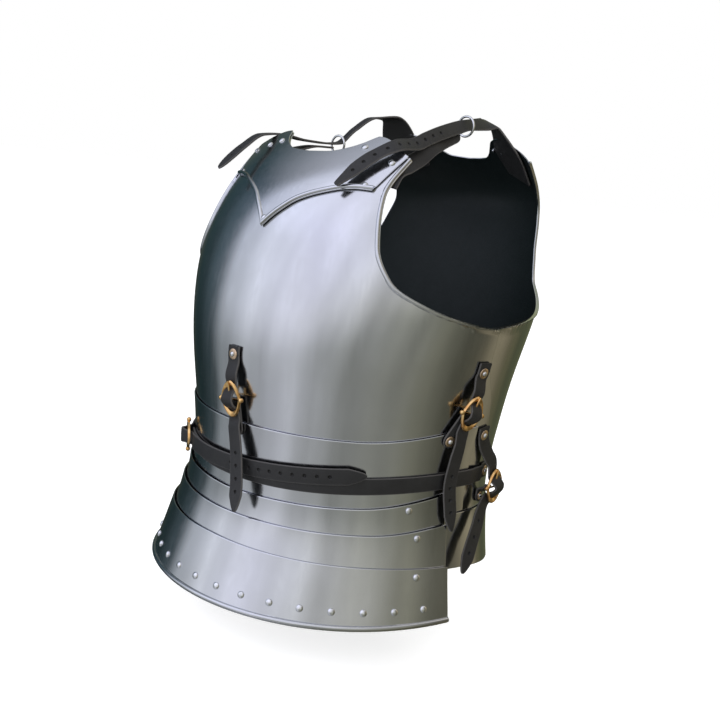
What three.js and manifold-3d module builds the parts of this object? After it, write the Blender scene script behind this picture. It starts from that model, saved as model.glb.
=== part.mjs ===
// A steel cuirass: breastplate with an applied neck plate, plackart, three waist lames, backplate and
// back skirt, held together by leather straps with buckles, all fastened as when worn.
// Lengths are millimetres and angles are degrees. +Z is up, -Y is the wearer's front, +X the wearer's left.
// The origin lies midway between the undersides of the two shoulder straps. An angle round the body is 0
// at the middle of the front, 90 at the wearer's left side and 180 at the middle of the back. A drop is a
// share of bodyHeight, counted down to 1 at the rim, and a lift is a distance out from the breastplate's
// outer face.

import * as THREE from "three";
import { mergeVertices } from "three/addons/utils/BufferGeometryUtils.js";
import Module from "manifold-3d";

const wasm = await Module();
wasm.setup();

// Driving dimensions
const bodyHeight = 526;
const originDrop = 0.046;
const chestHalfWidth = 200;
const chestFront = 192;
const backDepth = 193;
const fullness = 0.035;
const plate = 1.6;
const plateGap = 0.9;
const sideGap = 1.3;
const lameGap = 1.7;
const lameEndAngle = 77.5;
const plackartEndAngle = 86;
const skirtEndAngle = 104;
const edgeRoll = 2.2;
const rimRoll = 3.0;
const borderRoll = 2.4;
const leather = 2.2;
const seatGap = 0.8;
const layerGap = 0.5;
const strapWidth = 16;
const beltWidth = 17;
const shoulderWidth = 15;
const shoulderRootWidth = 46;
const tabRootShare = 0.48;
const buckleLong = 38;
const buckleWide = 28;
const buckleThick = 2.4;
const buckleRim = 3;
const beltBuckleScale = 1.15;
const tongueWidth = 2.4;
const ringWire = 1.3;
const ringRadius = 10.4;
const rivetHead = 4;
const rivetDome = 2;
const rivetShank = 1.8;
const rivetSegments = 6;
const lameCells = 24;
const rivetPlay = 0.45;
const headPlay = 0.5;
const pivotInset = 7;
const rootSink = 3;
const tabSink = 2;
const tonguePlay = 0.6;
const barRise = 1;
const beltBarRise = 2;
const hangStand = 14;
const tabPast = 0.2;

const steelColour = 0xa5a8b2;
const leatherColour = 0x232323;
const brassColour = 0xc89650;

// Lifts of the inner face of each plate
const liftOf = {
  backplate: -(2 * plate + sideGap),
  skirt: -plate,
  breastplate: -plate,
  neckPlate: plateGap,
  plackart: plateGap,
};
liftOf.lame1 = liftOf.plackart + plate + lameGap;
liftOf.lame2 = liftOf.lame1 + plate + lameGap;
liftOf.lame3 = liftOf.lame2 + plate + lameGap;

// Cross-sections of the body: drop, and half width, front depth and back depth as shares of the chest's
const bodySections = [
  { drop: 0.000, wide: 0.780, front: 0.10, back: 0.321 },
  { drop: 0.057, wide: 0.785, front: 0.30, back: 0.642 },
  { drop: 0.114, wide: 0.795, front: 0.52, back: 0.865 },
  { drop: 0.181, wide: 0.850, front: 0.72, back: 1.000 },
  { drop: 0.257, wide: 0.930, front: 0.85, back: 0.953 },
  { drop: 0.342, wide: 0.995, front: 0.93, back: 0.860 },
  { drop: 0.437, wide: 0.980, front: 0.985, back: 0.777 },
  { drop: 0.542, wide: 0.925, front: 1.00, back: 0.697 },
  { drop: 0.646, wide: 0.880, front: 0.97, back: 0.653 },
  { drop: 0.751, wide: 0.850, front: 0.95, back: 0.630 },
  { drop: 0.837, wide: 0.865, front: 0.97, back: 0.618 },
  { drop: 0.913, wide: 0.900, front: 1.03, back: 0.612 },
  { drop: 1.000, wide: 0.950, front: 1.11, back: 0.618 },
  { drop: 1.080, wide: 0.990, front: 1.19, back: 0.630 },
];

// Edges: angle from the middle of the plate at each drop
const breastSide = [
  { drop: 0.131, angle: 43 }, { drop: 0.200, angle: 39 }, { drop: 0.289, angle: 40 },
  { drop: 0.348, angle: 45 }, { drop: 0.388, angle: 58 }, { drop: 0.416, angle: 75 },
  { drop: 0.426, angle: 84 }, { drop: 0.489, angle: 84 }, { drop: 0.570, angle: 90 },
  { drop: 0.620, angle: 93 }, { drop: 0.660, angle: 94 }, { drop: 0.700, angle: 94 },
  { drop: 0.740, angle: 94 },
];
const breastNeckline = [
  { angle: 0, drop: 0.134 }, { angle: 9, drop: 0.131 }, { angle: 15, drop: 0.122 },
  { angle: 23, drop: 0.095 }, { angle: 43, drop: 0.131 },
];
const neckPlateSide = [{ drop: 0.135, angle: 41 }, { drop: 0.196, angle: 34 }];
const neckPlateBorder = [
  { angle: 0, drop: 0.280 }, { angle: 5, drop: 0.249 }, { angle: 10, drop: 0.224 },
  { angle: 17, drop: 0.207 }, { angle: 25, drop: 0.194 }, { angle: 34, drop: 0.193 },
];
const plackartTop = [{ angle: 0, drop: 0.654 }, { angle: 45, drop: 0.651 }, { angle: 86, drop: 0.622 }];
const lameTops = [
  [{ angle: 0, drop: 0.789 }, { angle: 49, drop: 0.781 }, { angle: 81, drop: 0.753 }],
  [{ angle: 0, drop: 0.833 }, { angle: 52, drop: 0.831 }, { angle: 81, drop: 0.814 }],
  [{ angle: 0, drop: 0.884 }, { angle: 52, drop: 0.890 }, { angle: 81, drop: 0.899 }],
];
const lameOverlap = 0.042;
const rimDrop = 1.0;
const backSide = [
  { drop: 0.105, angle: 52 }, { drop: 0.140, angle: 46 }, { drop: 0.180, angle: 40 },
  { drop: 0.224, angle: 38 }, { drop: 0.274, angle: 38 }, { drop: 0.320, angle: 39.5 },
  { drop: 0.352, angle: 42 }, { drop: 0.380, angle: 51 }, { drop: 0.403, angle: 64 },
  { drop: 0.420, angle: 88 }, { drop: 0.428, angle: 104 }, { drop: 0.500, angle: 103 },
  { drop: 0.570, angle: 102 }, { drop: 0.620, angle: 99 }, { drop: 0.660, angle: 98 },
  { drop: 0.700, angle: 98 }, { drop: 0.740, angle: 98 }, { drop: 0.780, angle: 98 },
  { drop: 0.820, angle: 98 },
];
const backNeckline = [
  { angle: 0, drop: 0.099 }, { angle: 9, drop: 0.096 }, { angle: 15.5, drop: 0.076 },
  { angle: 20, drop: 0.061 }, { angle: 26, drop: 0.056 }, { angle: 35, drop: 0.071 },
  { angle: 52, drop: 0.105 },
];
const armHoleEnd = 0.415;
const neckRivets = [
  { angle: 0, drop: 0.266 }, { angle: 31, drop: 0.187 }, { angle: 22, drop: 0.118 },
  { angle: 28.5, drop: 0.128 }, { angle: 36.5, drop: 0.142 },
];
const rimRivets = { eachSide: 8, apart: 8.7, rise: 0.032 };
const lamePivotAngles = [64, 67, 67];
const skirtTop = [{ angle: 0, drop: 0.803 }, { angle: 104, drop: 0.803 }];
const skirtBottom = [{ angle: 0, drop: 0.950 }, { angle: 104, drop: 0.905 }];

const radians = THREE.MathUtils.degToRad;
const heightAt = (drop) => (originDrop - drop) * bodyHeight;

// Natural cubic spline through a table's column, as a function of its drop
function splineThrough(rows, column) {
  const n = rows.length;
  const xs = rows.map((row) => row.drop);
  const ys = rows.map((row) => row[column]);
  const bend = new Array(n).fill(0);
  const slack = new Array(n).fill(0);
  for (let i = 1; i < n - 1; i += 1) {
    const before = xs[i] - xs[i - 1];
    const share = before / (xs[i + 1] - xs[i - 1]);
    const pivot = share * bend[i - 1] + 2;
    const jump = (ys[i + 1] - ys[i]) / (xs[i + 1] - xs[i]) - (ys[i] - ys[i - 1]) / before;
    bend[i] = (share - 1) / pivot;
    slack[i] = (6 * jump / (xs[i + 1] - xs[i - 1]) - share * slack[i - 1]) / pivot;
  }
  for (let i = n - 2; i >= 0; i -= 1) {
    bend[i] = bend[i] * bend[i + 1] + slack[i];
  }
  bend[n - 1] = 0;
  return (x) => {
    let i = 0;
    while (i < n - 2 && x > xs[i + 1]) i += 1;
    const h = xs[i + 1] - xs[i];
    const a = (xs[i + 1] - x) / h;
    const b = (x - xs[i]) / h;
    return a * ys[i] + b * ys[i + 1] + ((a ** 3 - a) * bend[i] + (b ** 3 - b) * bend[i + 1]) * h * h / 6;
  };
}

const wideAt = splineThrough(bodySections, "wide");
const frontAt = splineThrough(bodySections, "front");
const backAt = splineThrough(bodySections, "back");

// Point of the breastplate's outer surface, carried on all round the body
function skinPoint(angle, drop) {
  const s = Math.sin(radians(angle));
  const c = Math.cos(radians(angle));
  const depth = c > 0 ? frontAt(drop) * chestFront : backAt(drop) * backDepth;
  return new THREE.Vector3(
    wideAt(drop) * chestHalfWidth * s * (1 + fullness * c * c),
    -depth * c * (1 + fullness * s * s),
    heightAt(drop),
  );
}

function skinNormal(angle, drop) {
  const step = 0.002;
  const around = skinPoint(angle + 1, drop).sub(skinPoint(angle - 1, drop));
  const down = skinPoint(angle, drop + step).sub(skinPoint(angle, drop - step));
  return down.cross(around).normalize();
}

function bodyPoint(angle, drop, lift) {
  return skinPoint(angle, drop).addScaledVector(skinNormal(angle, drop), lift);
}

// Value of one column of a table at a value of another, straight between its rows
function along(rows, from, to, x) {
  let i = 0;
  while (i < rows.length - 2 && x > rows[i + 1][from]) i += 1;
  const share = (x - rows[i][from]) / (rows[i + 1][from] - rows[i][from]);
  return THREE.MathUtils.lerp(rows[i][to], rows[i + 1][to], share);
}

// Closed solid from points and triangles, turned so that its faces point out
function solidFrom(points, triangles) {
  const volume = triangles.reduce(
    (sum, [a, b, c]) => sum + points[a].dot(points[b].clone().cross(points[c])),
    0,
  );
  const turned = volume > 0 ? triangles : triangles.map(([a, b, c]) => [a, c, b]);
  return new wasm.Manifold(new wasm.Mesh({
    numProp: 3,
    vertProperties: new Float32Array(points.flatMap((p) => [p.x, p.y, p.z])),
    triVerts: new Uint32Array(turned.flat()),
  }));
}

function solidFromGeometry(geometry, matrix) {
  const bare = geometry.clone();
  bare.deleteAttribute("normal");
  bare.deleteAttribute("uv");
  const merged = mergeVertices(bare.applyMatrix4(matrix), 1e-3);
  const position = merged.getAttribute("position");
  const points = [];
  for (let i = 0; i < position.count; i += 1) {
    points.push(new THREE.Vector3().fromBufferAttribute(position, i));
  }
  const index = Array.from(merged.getIndex().array);
  const triangles = [];
  for (let i = 0; i < index.length; i += 3) {
    const [a, b, c] = index.slice(i, i + 3);
    if (a !== b && b !== c && a !== c) triangles.push([a, b, c]);
  }
  return solidFrom(points, triangles);
}

// Curved plate: a grid of points on its outer and inner face, joined round the edge.
// Its shares run from -1 at one side to 1 at the other; roll gives the thickening of each edge.
function plateSolid({ middle = 0, side, top, bottom, rows, shares, lift, roll }) {
  const sideTop = rows[0];
  const sideBottom = rows[rows.length - 1];
  const grid = rows.map((row) => shares.map((share) => {
    const angle = share * side(row);
    const first = top(Math.abs(share * side(sideTop)));
    const last = bottom(Math.abs(share * side(sideBottom)));
    const drop = THREE.MathUtils.mapLinear(row, sideTop, sideBottom, first, last);
    return { angle: middle + angle, drop, row };
  }));
  const points = [];
  const add = (point) => points.push(point) - 1;
  const outer = grid.map((line) => line.map((p) => add(bodyPoint(p.angle, p.drop, lift + plate))));
  const inner = grid.map((line) => line.map((p) => add(bodyPoint(p.angle, p.drop, lift))));
  const triangles = [];
  const quad = (a, b, c, d) => triangles.push([a, b, c], [a, c, d]);
  const lastRow = rows.length - 1;
  const lastColumn = shares.length - 1;
  for (let i = 0; i < lastRow; i += 1) {
    for (let j = 0; j < lastColumn; j += 1) {
      quad(outer[i][j], outer[i + 1][j], outer[i + 1][j + 1], outer[i][j + 1]);
      quad(inner[i][j], inner[i][j + 1], inner[i + 1][j + 1], inner[i + 1][j]);
    }
  }
  const edge = [];
  for (let j = 0; j < lastColumn; j += 1) edge.push([0, j, 1, j]);
  for (let i = 0; i < lastRow; i += 1) edge.push([i, lastColumn, i, lastColumn - 1]);
  for (let j = lastColumn; j > 0; j -= 1) edge.push([lastRow, j, lastRow - 1, j]);
  for (let i = lastRow; i > 0; i -= 1) edge.push([i, 0, i, 1]);
  const ring = edge.map(([i, j, k, m]) => {
    const cell = grid[i][j];
    const size = roll(i === 0 ? "top" : i === lastRow ? "bottom" : "side", cell.row);
    if (size === 0) return null;
    const here = points[outer[i][j]];
    const out = here.clone().sub(points[outer[k][m]]).normalize();
    const halfway = here.clone().lerp(points[inner[i][j]], 0.5);
    return add(halfway.addScaledVector(out, size).addScaledVector(skinNormal(cell.angle, cell.drop), size));
  });
  edge.forEach(([i, j], n) => {
    const next = (n + 1) % edge.length;
    const [k, m] = edge[next];
    const loop = [outer[i][j], outer[k][m], ring[next], inner[k][m], inner[i][j], ring[n]];
    const face = loop.filter((point) => point !== null);
    const apex = ring[n] === null ? 0 : face.length - 1;
    const order = [...face.slice(apex), ...face.slice(0, apex)];
    for (let t = 1; t < order.length - 1; t += 1) triangles.push([order[0], order[t], order[t + 1]]);
  });
  return solidFrom(points, triangles);
}

// Even shares from -1 to 1
function evenShares(cells) {
  return Array.from({ length: cells + 1 }, (unused, i) => 2 * i / cells - 1);
}

function evenRows(first, last, cells) {
  return Array.from({ length: cells + 1 }, (unused, i) => first + (last - first) * i / cells);
}

const mirrored = (half) => [...half.slice(1).reverse().map((share) => -share), ...half];
const noRoll = () => 0;

// Strip of leather through a list of places, each with a point, an outward direction and a width
function stripSolid(places, thickness) {
  const points = [];
  const rings = places.map((place, i) => {
    const before = places[Math.max(i - 1, 0)].point;
    const after = places[Math.min(i + 1, places.length - 1)].point;
    const ahead = after.clone().sub(before).normalize();
    const across = ahead.clone().cross(place.out).normalize();
    const out = across.clone().cross(ahead).normalize();
    return [[-1, 0], [1, 0], [1, 1], [-1, 1]].map(([x, y]) => points.push(
      place.point.clone().addScaledVector(across, x * place.width / 2).addScaledVector(out, y * thickness),
    ) - 1);
  });
  const triangles = [];
  const quad = (a, b, c, d) => triangles.push([a, b, c], [a, c, d]);
  for (let i = 0; i < rings.length - 1; i += 1) {
    for (let k = 0; k < 4; k += 1) {
      const m = (k + 1) % 4;
      quad(rings[i][k], rings[i + 1][k], rings[i + 1][m], rings[i][m]);
    }
  }
  quad(...rings[0]);
  quad(...rings[rings.length - 1].slice().reverse());
  return solidFrom(points, triangles);
}

// Place on the body; its lift is that of the strip's underside
function bodyPlace(angle, drop, lift, width) {
  return { point: bodyPoint(angle, drop, lift), out: skinNormal(angle, drop), width };
}

// Matrix of a place: x across the strip, y back along it, z outward
function frameAt(point, out, ahead) {
  const y = ahead.clone().addScaledVector(out, -ahead.dot(out)).normalize();
  const x = y.clone().cross(out).normalize();
  return new THREE.Matrix4().makeBasis(x, y, out).setPosition(point);
}

function lathe(profile, segments) {
  return new THREE.LatheGeometry(profile.map(([x, y]) => new THREE.Vector2(x, y)), segments)
    .rotateX(Math.PI / 2);
}

// Round-headed rivet standing on z = 0, with its shank down to -length and, if asked, a flat tail
function rivetSolid(point, out, length, tail) {
  const end = tail
    ? [[rivetShank, -length], [rivetHead * 0.8, -length], [rivetHead * 0.8, -length - plate / 2], [0, -length - plate / 2]]
    : [[rivetShank, -length], [0, -length]];
  const profile = [[0, rivetDome], [rivetHead * 0.7, rivetDome * 0.7], [rivetHead, 0], [rivetShank, 0], ...end];
  const ahead = Math.abs(out.z) < 0.9 ? new THREE.Vector3(0, 0, 1) : new THREE.Vector3(0, 1, 0);
  return solidFromGeometry(lathe(profile, rivetSegments), frameAt(point, out, ahead));
}

function shankCutter(angle, drop, low, high) {
  const radius = rivetShank + rivetPlay;
  const reach = (high - low) + 2;
  const shape = new THREE.CylinderGeometry(radius, radius, reach, rivetSegments).rotateX(Math.PI / 2);
  const middle = bodyPoint(angle, drop, (low + high) / 2);
  return solidFromGeometry(shape, frameAt(middle, skinNormal(angle, drop), new THREE.Vector3(0, 0, 1)));
}

const group = new THREE.Group();
const solids = {};
const colours = {};

function keep(name, solid, colour) {
  solids[name] = solid;
  colours[name] = colour;
}

const steel = { color: steelColour, roughness: 0.15, metalness: 1 };
const hide = { color: leatherColour, roughness: 0.6, metalness: 0 };
const brass = { color: brassColour, roughness: 0.25, metalness: 1 };

// Breastplate: smooth round plate with its arm-hole edges rolled out
function makeBreastplate() {
  const bottom = breastSide[breastSide.length - 1].drop;
  keep("breastplate", plateSolid({
    side: (row) => along(breastSide, "drop", "angle", row),
    top: (angle) => along(breastNeckline, "angle", "drop", angle),
    bottom: () => bottom,
    rows: breastSide.map((row) => row.drop),
    shares: mirrored([0, 0.09, 0.18, 0.265, 0.35, 0.44, 0.535, 0.61, 0.69, 0.77, 0.85, 0.93, 1]),
    lift: liftOf.breastplate,
    roll: (where, row) => (where === "side" && row < armHoleEnd + 0.005 ? edgeRoll : 0),
  }), steel);
}

// Rivet head fused to the plate that it stands on
function domeAt(angle, drop, lift) {
  const profile = [[0, rivetDome], [rivetHead * 0.75, rivetDome * 0.6], [rivetHead, -plate / 4], [0, -plate / 2]];
  const up = new THREE.Vector3(0, 0, 1);
  return solidFromGeometry(lathe(profile, rivetSegments), frameAt(bodyPoint(angle, drop, lift), skinNormal(angle, drop), up));
}

// Neck plate: runs round the neck to the shoulders and down to a point, with a rolled lower border
function makeNeckPlate() {
  let solid = plateSolid({
    side: (row) => along(neckPlateSide, "drop", "angle", row),
    top: (angle) => along(breastNeckline, "angle", "drop", angle),
    bottom: (angle) => along(neckPlateBorder, "angle", "drop", angle),
    rows: evenRows(neckPlateSide[0].drop, neckPlateSide[1].drop, 4),
    shares: mirrored([0, 0.1, 0.2, 0.3, 0.4, 0.48, 0.56, 0.67, 0.78, 0.89, 1]),
    lift: liftOf.neckPlate,
    roll: (where) => (where === "bottom" ? borderRoll : 0),
  });
  for (const { angle, drop } of neckRivets) {
    for (const side of angle ? [1, -1] : [1]) {
      solid = solid.add(domeAt(side * angle, drop, liftOf.neckPlate + plate));
    }
  }
  keep("neck_plate", solid, steel);
}

// Plackart: lower breastplate, worn outside the breastplate
function makePlackart() {
  keep("plackart", plateSolid({
    side: () => plackartEndAngle,
    top: (angle) => along(plackartTop, "angle", "drop", angle),
    bottom: (angle) => along(lameTops[0], "angle", "drop", angle) + lameOverlap,
    rows: evenRows(plackartTop[2].drop, lameTops[0][2].drop + lameOverlap, 5),
    shares: evenShares(lameCells),
    lift: liftOf.plackart,
    roll: noRoll,
  }), steel);
}

// Waist lames: each covers the lower edge of the one above, and the last has a rolled rim
function makeLames() {
  const lifts = [liftOf.lame1, liftOf.lame2, liftOf.lame3];
  lameTops.forEach((topRow, i) => {
    const last = i === lameTops.length - 1;
    const bottom = (angle) => (last ? rimDrop : along(lameTops[i + 1], "angle", "drop", angle) + lameOverlap);
    let solid = plateSolid({
      side: () => lameEndAngle,
      top: (angle) => along(topRow, "angle", "drop", angle),
      bottom,
      rows: evenRows(topRow[2].drop, bottom(lameEndAngle), last ? 3 : 2),
      shares: evenShares(lameCells),
      lift: lifts[i],
      roll: (where) => (last && where === "bottom" ? rimRoll : 0),
    });
    if (last) {
      const { eachSide, apart, rise } = rimRivets;
      for (let k = -eachSide; k <= eachSide; k += 1) {
        solid = solid.add(domeAt(k * apart, rimDrop - rise, lifts[i] + plate));
      }
    }
    keep(`fauld_lame_${i + 1}`, solid, steel);
  });
}

function makeBackplate() {
  const bottom = backSide[backSide.length - 1].drop;
  keep("backplate", plateSolid({
    middle: 180,
    side: (row) => along(backSide, "drop", "angle", row),
    top: (angle) => along(backNeckline, "angle", "drop", angle),
    bottom: () => bottom,
    rows: backSide.map((row) => row.drop),
    shares: mirrored([0, 0.15, 0.31, 0.43, 0.55, 0.66, 0.75, 0.82, 0.88, 0.94, 1]),
    lift: liftOf.backplate,
    roll: (where, row) => (where === "side" && row < armHoleEnd ? edgeRoll : 0),
  }), steel);
  keep("back_skirt", plateSolid({
    middle: 180,
    side: () => skirtEndAngle,
    top: (angle) => along(skirtTop, "angle", "drop", angle),
    bottom: (angle) => along(skirtBottom, "angle", "drop", angle),
    rows: evenRows(skirtTop[0].drop, skirtBottom[1].drop, 3),
    shares: evenShares(lameCells),
    lift: liftOf.skirt,
    roll: noRoll,
  }), steel);
}

// Lame pivots: a rivet at each side through a lame and the plate inside it
function makePivots() {
  const carriers = ["plackart", "fauld_lame_1", "fauld_lame_2"];
  const inside = [liftOf.plackart, liftOf.lame1, liftOf.lame2];
  lameTops.forEach((topRow, i) => {
    for (const [sign, side] of [[1, "left"], [-1, "right"]]) {
      const angle = sign * lamePivotAngles[i];
      const drop = along(topRow, "angle", "drop", lamePivotAngles[i]) + pivotInset / bodyHeight;
      const low = inside[i];
      const high = inside[i] + 2 * plate + lameGap;
      const cutter = shankCutter(angle, drop, low, high);
      solids[carriers[i]] = solids[carriers[i]].subtract(cutter);
      solids[`fauld_lame_${i + 1}`] = solids[`fauld_lame_${i + 1}`].subtract(cutter);
      const point = bodyPoint(angle, drop, high + headPlay);
      const length = high - low + 2 * headPlay;
      keep(`lame_pivot_${i + 1}_${side}`, rivetSolid(point, skinNormal(angle, drop), length, true), steel);
    }
  });
}

// Rivet that holds a leather end on a plate
function strapRivet(name, strip, carrier, angle, drop, low, top) {
  const cutter = shankCutter(angle, drop, low, top);
  solids[strip] = solids[strip].subtract(cutter);
  solids[carrier] = solids[carrier].subtract(cutter);
  const point = bodyPoint(angle, drop, top + headPlay);
  keep(name, rivetSolid(point, skinNormal(angle, drop), top + headPlay - low - plate / 2, false), steel);
}

// Buckle with a bar across its middle, two openings, side knobs and a tongue, flat on z = 0
function buckleGeometry() {
  const x = buckleWide / 2;
  const y = buckleLong / 2;
  const outline = [
    [0, y], [x * 0.55, y * 0.82], [x * 0.85, y * 0.5], [x * 0.88, y * 0.15], [x, 0],
    [x * 0.88, -y * 0.15], [x * 0.85, -y * 0.5], [x * 0.55, -y * 0.82], [0, -y],
  ];
  const all = [...outline, ...outline.slice(1, -1).reverse().map(([a, b]) => [-a, b])];
  const shape = new THREE.Shape(all.reverse().map(([a, b]) => new THREE.Vector2(a, b)));
  const inX = x * 0.85 - buckleRim * 0.7;
  const bar = buckleRim / 2;
  for (const sign of [1, -1]) {
    const corners = [[-inX, bar], [inX, bar], [inX * 0.86, y * 0.6], [0, y - buckleRim], [-inX * 0.86, y * 0.6]];
    shape.holes.push(new THREE.Path(corners.map(([a, b]) => new THREE.Vector2(a, sign * b))));
  }
  return new THREE.ExtrudeGeometry(shape, { depth: buckleThick, bevelEnabled: false });
}

// The tongue starts on the bar and rests on the far end of the frame; grow gives a cutter round it
function tongueSolid(matrix, grow) {
  const start = new THREE.Vector3(0, 0, buckleThick * 0.5);
  const end = new THREE.Vector3(0, buckleLong / 2 - buckleRim / 2, buckleThick + tongueWidth / 2 + 0.1);
  const reach = end.clone().sub(start);
  const box = new THREE.BoxGeometry(tongueWidth + 2 * grow, reach.length() + 2 * grow, tongueWidth + 2 * grow);
  const turn = new THREE.Matrix4().makeRotationX(Math.atan2(reach.z, reach.y));
  const placed = new THREE.Matrix4().makeTranslation(start.lerp(end, 0.5)).multiply(turn);
  return solidFromGeometry(box, matrix.clone().multiply(placed));
}

function buckleSolid(matrix) {
  return solidFromGeometry(buckleGeometry(), matrix).add(tongueSolid(matrix, 0));
}

// Lifts where a strap passes a buckle: the tab, the strap under the frame's ends, the frame, and the
// strap over the bar
function buckleLifts(seat) {
  const under = seat + leather + layerGap;
  const frame = under + leather + layerGap;
  return { tab: seat, under, frame, strap: frame + buckleThick + layerGap };
}

// Shares of half a buckle's length, from its bar: where the strap clears the bar, where it is below the
// frame, and where it is past the frame's end
const barClear = 0.22;
const belowFrame = 0.62;
const pastFrame = 1.15;
const flatPastRivet = 0.011;

// Plackart straps: riveted high on the breastplate, through a buckle held by a tab on the plackart,
// with a loose end that hangs clear of the lames
const plackartSeat = liftOf.plackart + plate + seatGap;
const sideLine = {
  top: 0.489, rivet: 0.509, buckle: 0.585, tab: { angle: 74.6, drop: 0.643 },
  line: [
    { drop: 0.509, angle: 81.8 }, { drop: 0.585, angle: 79.4 }, { drop: 0.622, angle: 78.2 },
    { drop: 0.660, angle: 77.7 }, { drop: 0.730, angle: 76.9 }, { drop: 0.800, angle: 78.2 },
    { drop: 0.828, angle: 78.7 },
  ],
  loose: [
    { drop: 0.643, rise: 0.10, wide: 0.9 }, { drop: 0.680, rise: 0.15, wide: 1 },
    { drop: 0.730, rise: 0.20, wide: 1 }, { drop: 0.790, rise: 0.30, wide: 1 },
    { drop: 0.828, rise: 0.36, wide: 0.35 },
  ],
};
const middleLine = {
  top: 0.507, rivet: 0.523, buckle: 0.605, tab: { angle: 3.4, drop: 0.667 },
  line: [
    { drop: 0.523, angle: 0.8 }, { drop: 0.605, angle: 2.6 }, { drop: 0.642, angle: 3.2 },
    { drop: 0.683, angle: 5.0 }, { drop: 0.760, angle: 8.2 }, { drop: 0.822, angle: 10.2 },
  ],
  loose: [
    { drop: 0.660, rise: 0.20, wide: 1 }, { drop: 0.690, rise: 0.36, wide: 1 },
    { drop: 0.760, rise: 0.80, wide: 1 }, { drop: 0.796, rise: 1.05, wide: 1 },
    { drop: 0.822, rise: 1.20, wide: 0.35 },
  ],
};
const plackartStraps = [
  { name: "middle", side: 1, ...middleLine },
  { name: "left", side: 1, ...sideLine },
  { name: "right", side: -1, ...sideLine },
];

function makePlackartStraps() {
  const lifts = buckleLifts(plackartSeat);
  const half = buckleLong / 2 / bodyHeight;
  for (const { name, side, top, rivet, buckle, tab, line, loose } of plackartStraps) {
    const angleAt = (drop) => side * along(line, "drop", "angle", Math.max(drop, rivet));
    const on = (drop, lift, share) => bodyPlace(angleAt(drop), drop, lift, strapWidth * share);
    const strap = `plackart_strap_${name}`;
    keep(strap, stripSolid([
      on(top, seatGap, 1),
      on(rivet, seatGap, 1),
      on(rivet + flatPastRivet, seatGap, 1),
      on(buckle - half * pastFrame, lifts.under, 1),
      on(buckle - half * belowFrame, lifts.under, 0.85),
      on(buckle - half * barClear, lifts.strap, 0.85),
      on(buckle, lifts.strap + barRise, 1),
      on(buckle + half * barClear, lifts.strap, 0.85),
      on(buckle + half * belowFrame, lifts.under, 0.85),
      on(buckle + half * pastFrame, lifts.under, 1),
      ...loose.map((row) => on(row.drop, lifts.under + hangStand * row.rise, row.wide)),
    ], leather), hide);
    const tabAngle = side * tab.angle;
    const tabStrip = `plackart_tab_${name}`;
    keep(tabStrip, stripSolid([
      on(buckle, plackartSeat, 0.85),
      bodyPlace(tabAngle, tab.drop, plackartSeat, strapWidth),
      bodyPlace(tabAngle + (tabAngle - angleAt(buckle)) * tabPast, tab.drop + (tab.drop - buckle) * tabPast,
        plackartSeat, strapWidth),
    ], leather), hide);
    const ahead = bodyPoint(angleAt(buckle - half), buckle - half, 0)
      .sub(bodyPoint(angleAt(buckle + half), buckle + half, 0));
    const out = skinNormal(angleAt(buckle), buckle);
    const matrix = frameAt(bodyPoint(angleAt(buckle), buckle, lifts.frame), out, ahead);
    keep(`plackart_buckle_${name}`, buckleSolid(matrix), brass);
    solids[strap] = solids[strap].subtract(tongueSolid(matrix, tonguePlay));
    const onBreast = seatGap + leather;
    strapRivet(`plackart_strap_rivet_${name}`, strap, "breastplate", angleAt(rivet), rivet, -plate, onBreast);
    const onTab = plackartSeat + leather;
    strapRivet(`plackart_tab_rivet_${name}`, tabStrip, "plackart", tabAngle, tab.drop, liftOf.plackart, onTab);
  }
}

// Side straps: riveted on the breastplate's side, over the belt's end and buckled to a tab on the backplate
const sideRivet = { angle: 90, drop: 0.6415 };
const sideBuckle = { angle: 100.5, drop: 0.753, facing: 93, stand: 2 };
const sideTabRivet = { angle: 99.5, drop: 0.779 };
const sideStrapEnd = [
  { angle: 98.2, drop: 0.783, lift: 0.55, facing: 94, wide: 1 },
  { angle: 94.5, drop: 0.804, lift: 0.55, facing: 86, wide: 1 },
  { angle: 90.8, drop: 0.832, lift: 0.65, facing: 78, wide: 1 },
  { angle: 87.6, drop: 0.860, lift: 0.78, facing: 74, wide: 1 },
  { angle: 85.2, drop: 0.888, lift: 0.85, facing: 72, wide: 0.9 },
  { angle: 83.0, drop: 0.916, lift: 0.85, facing: 72, wide: 0.3 },
];

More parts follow.
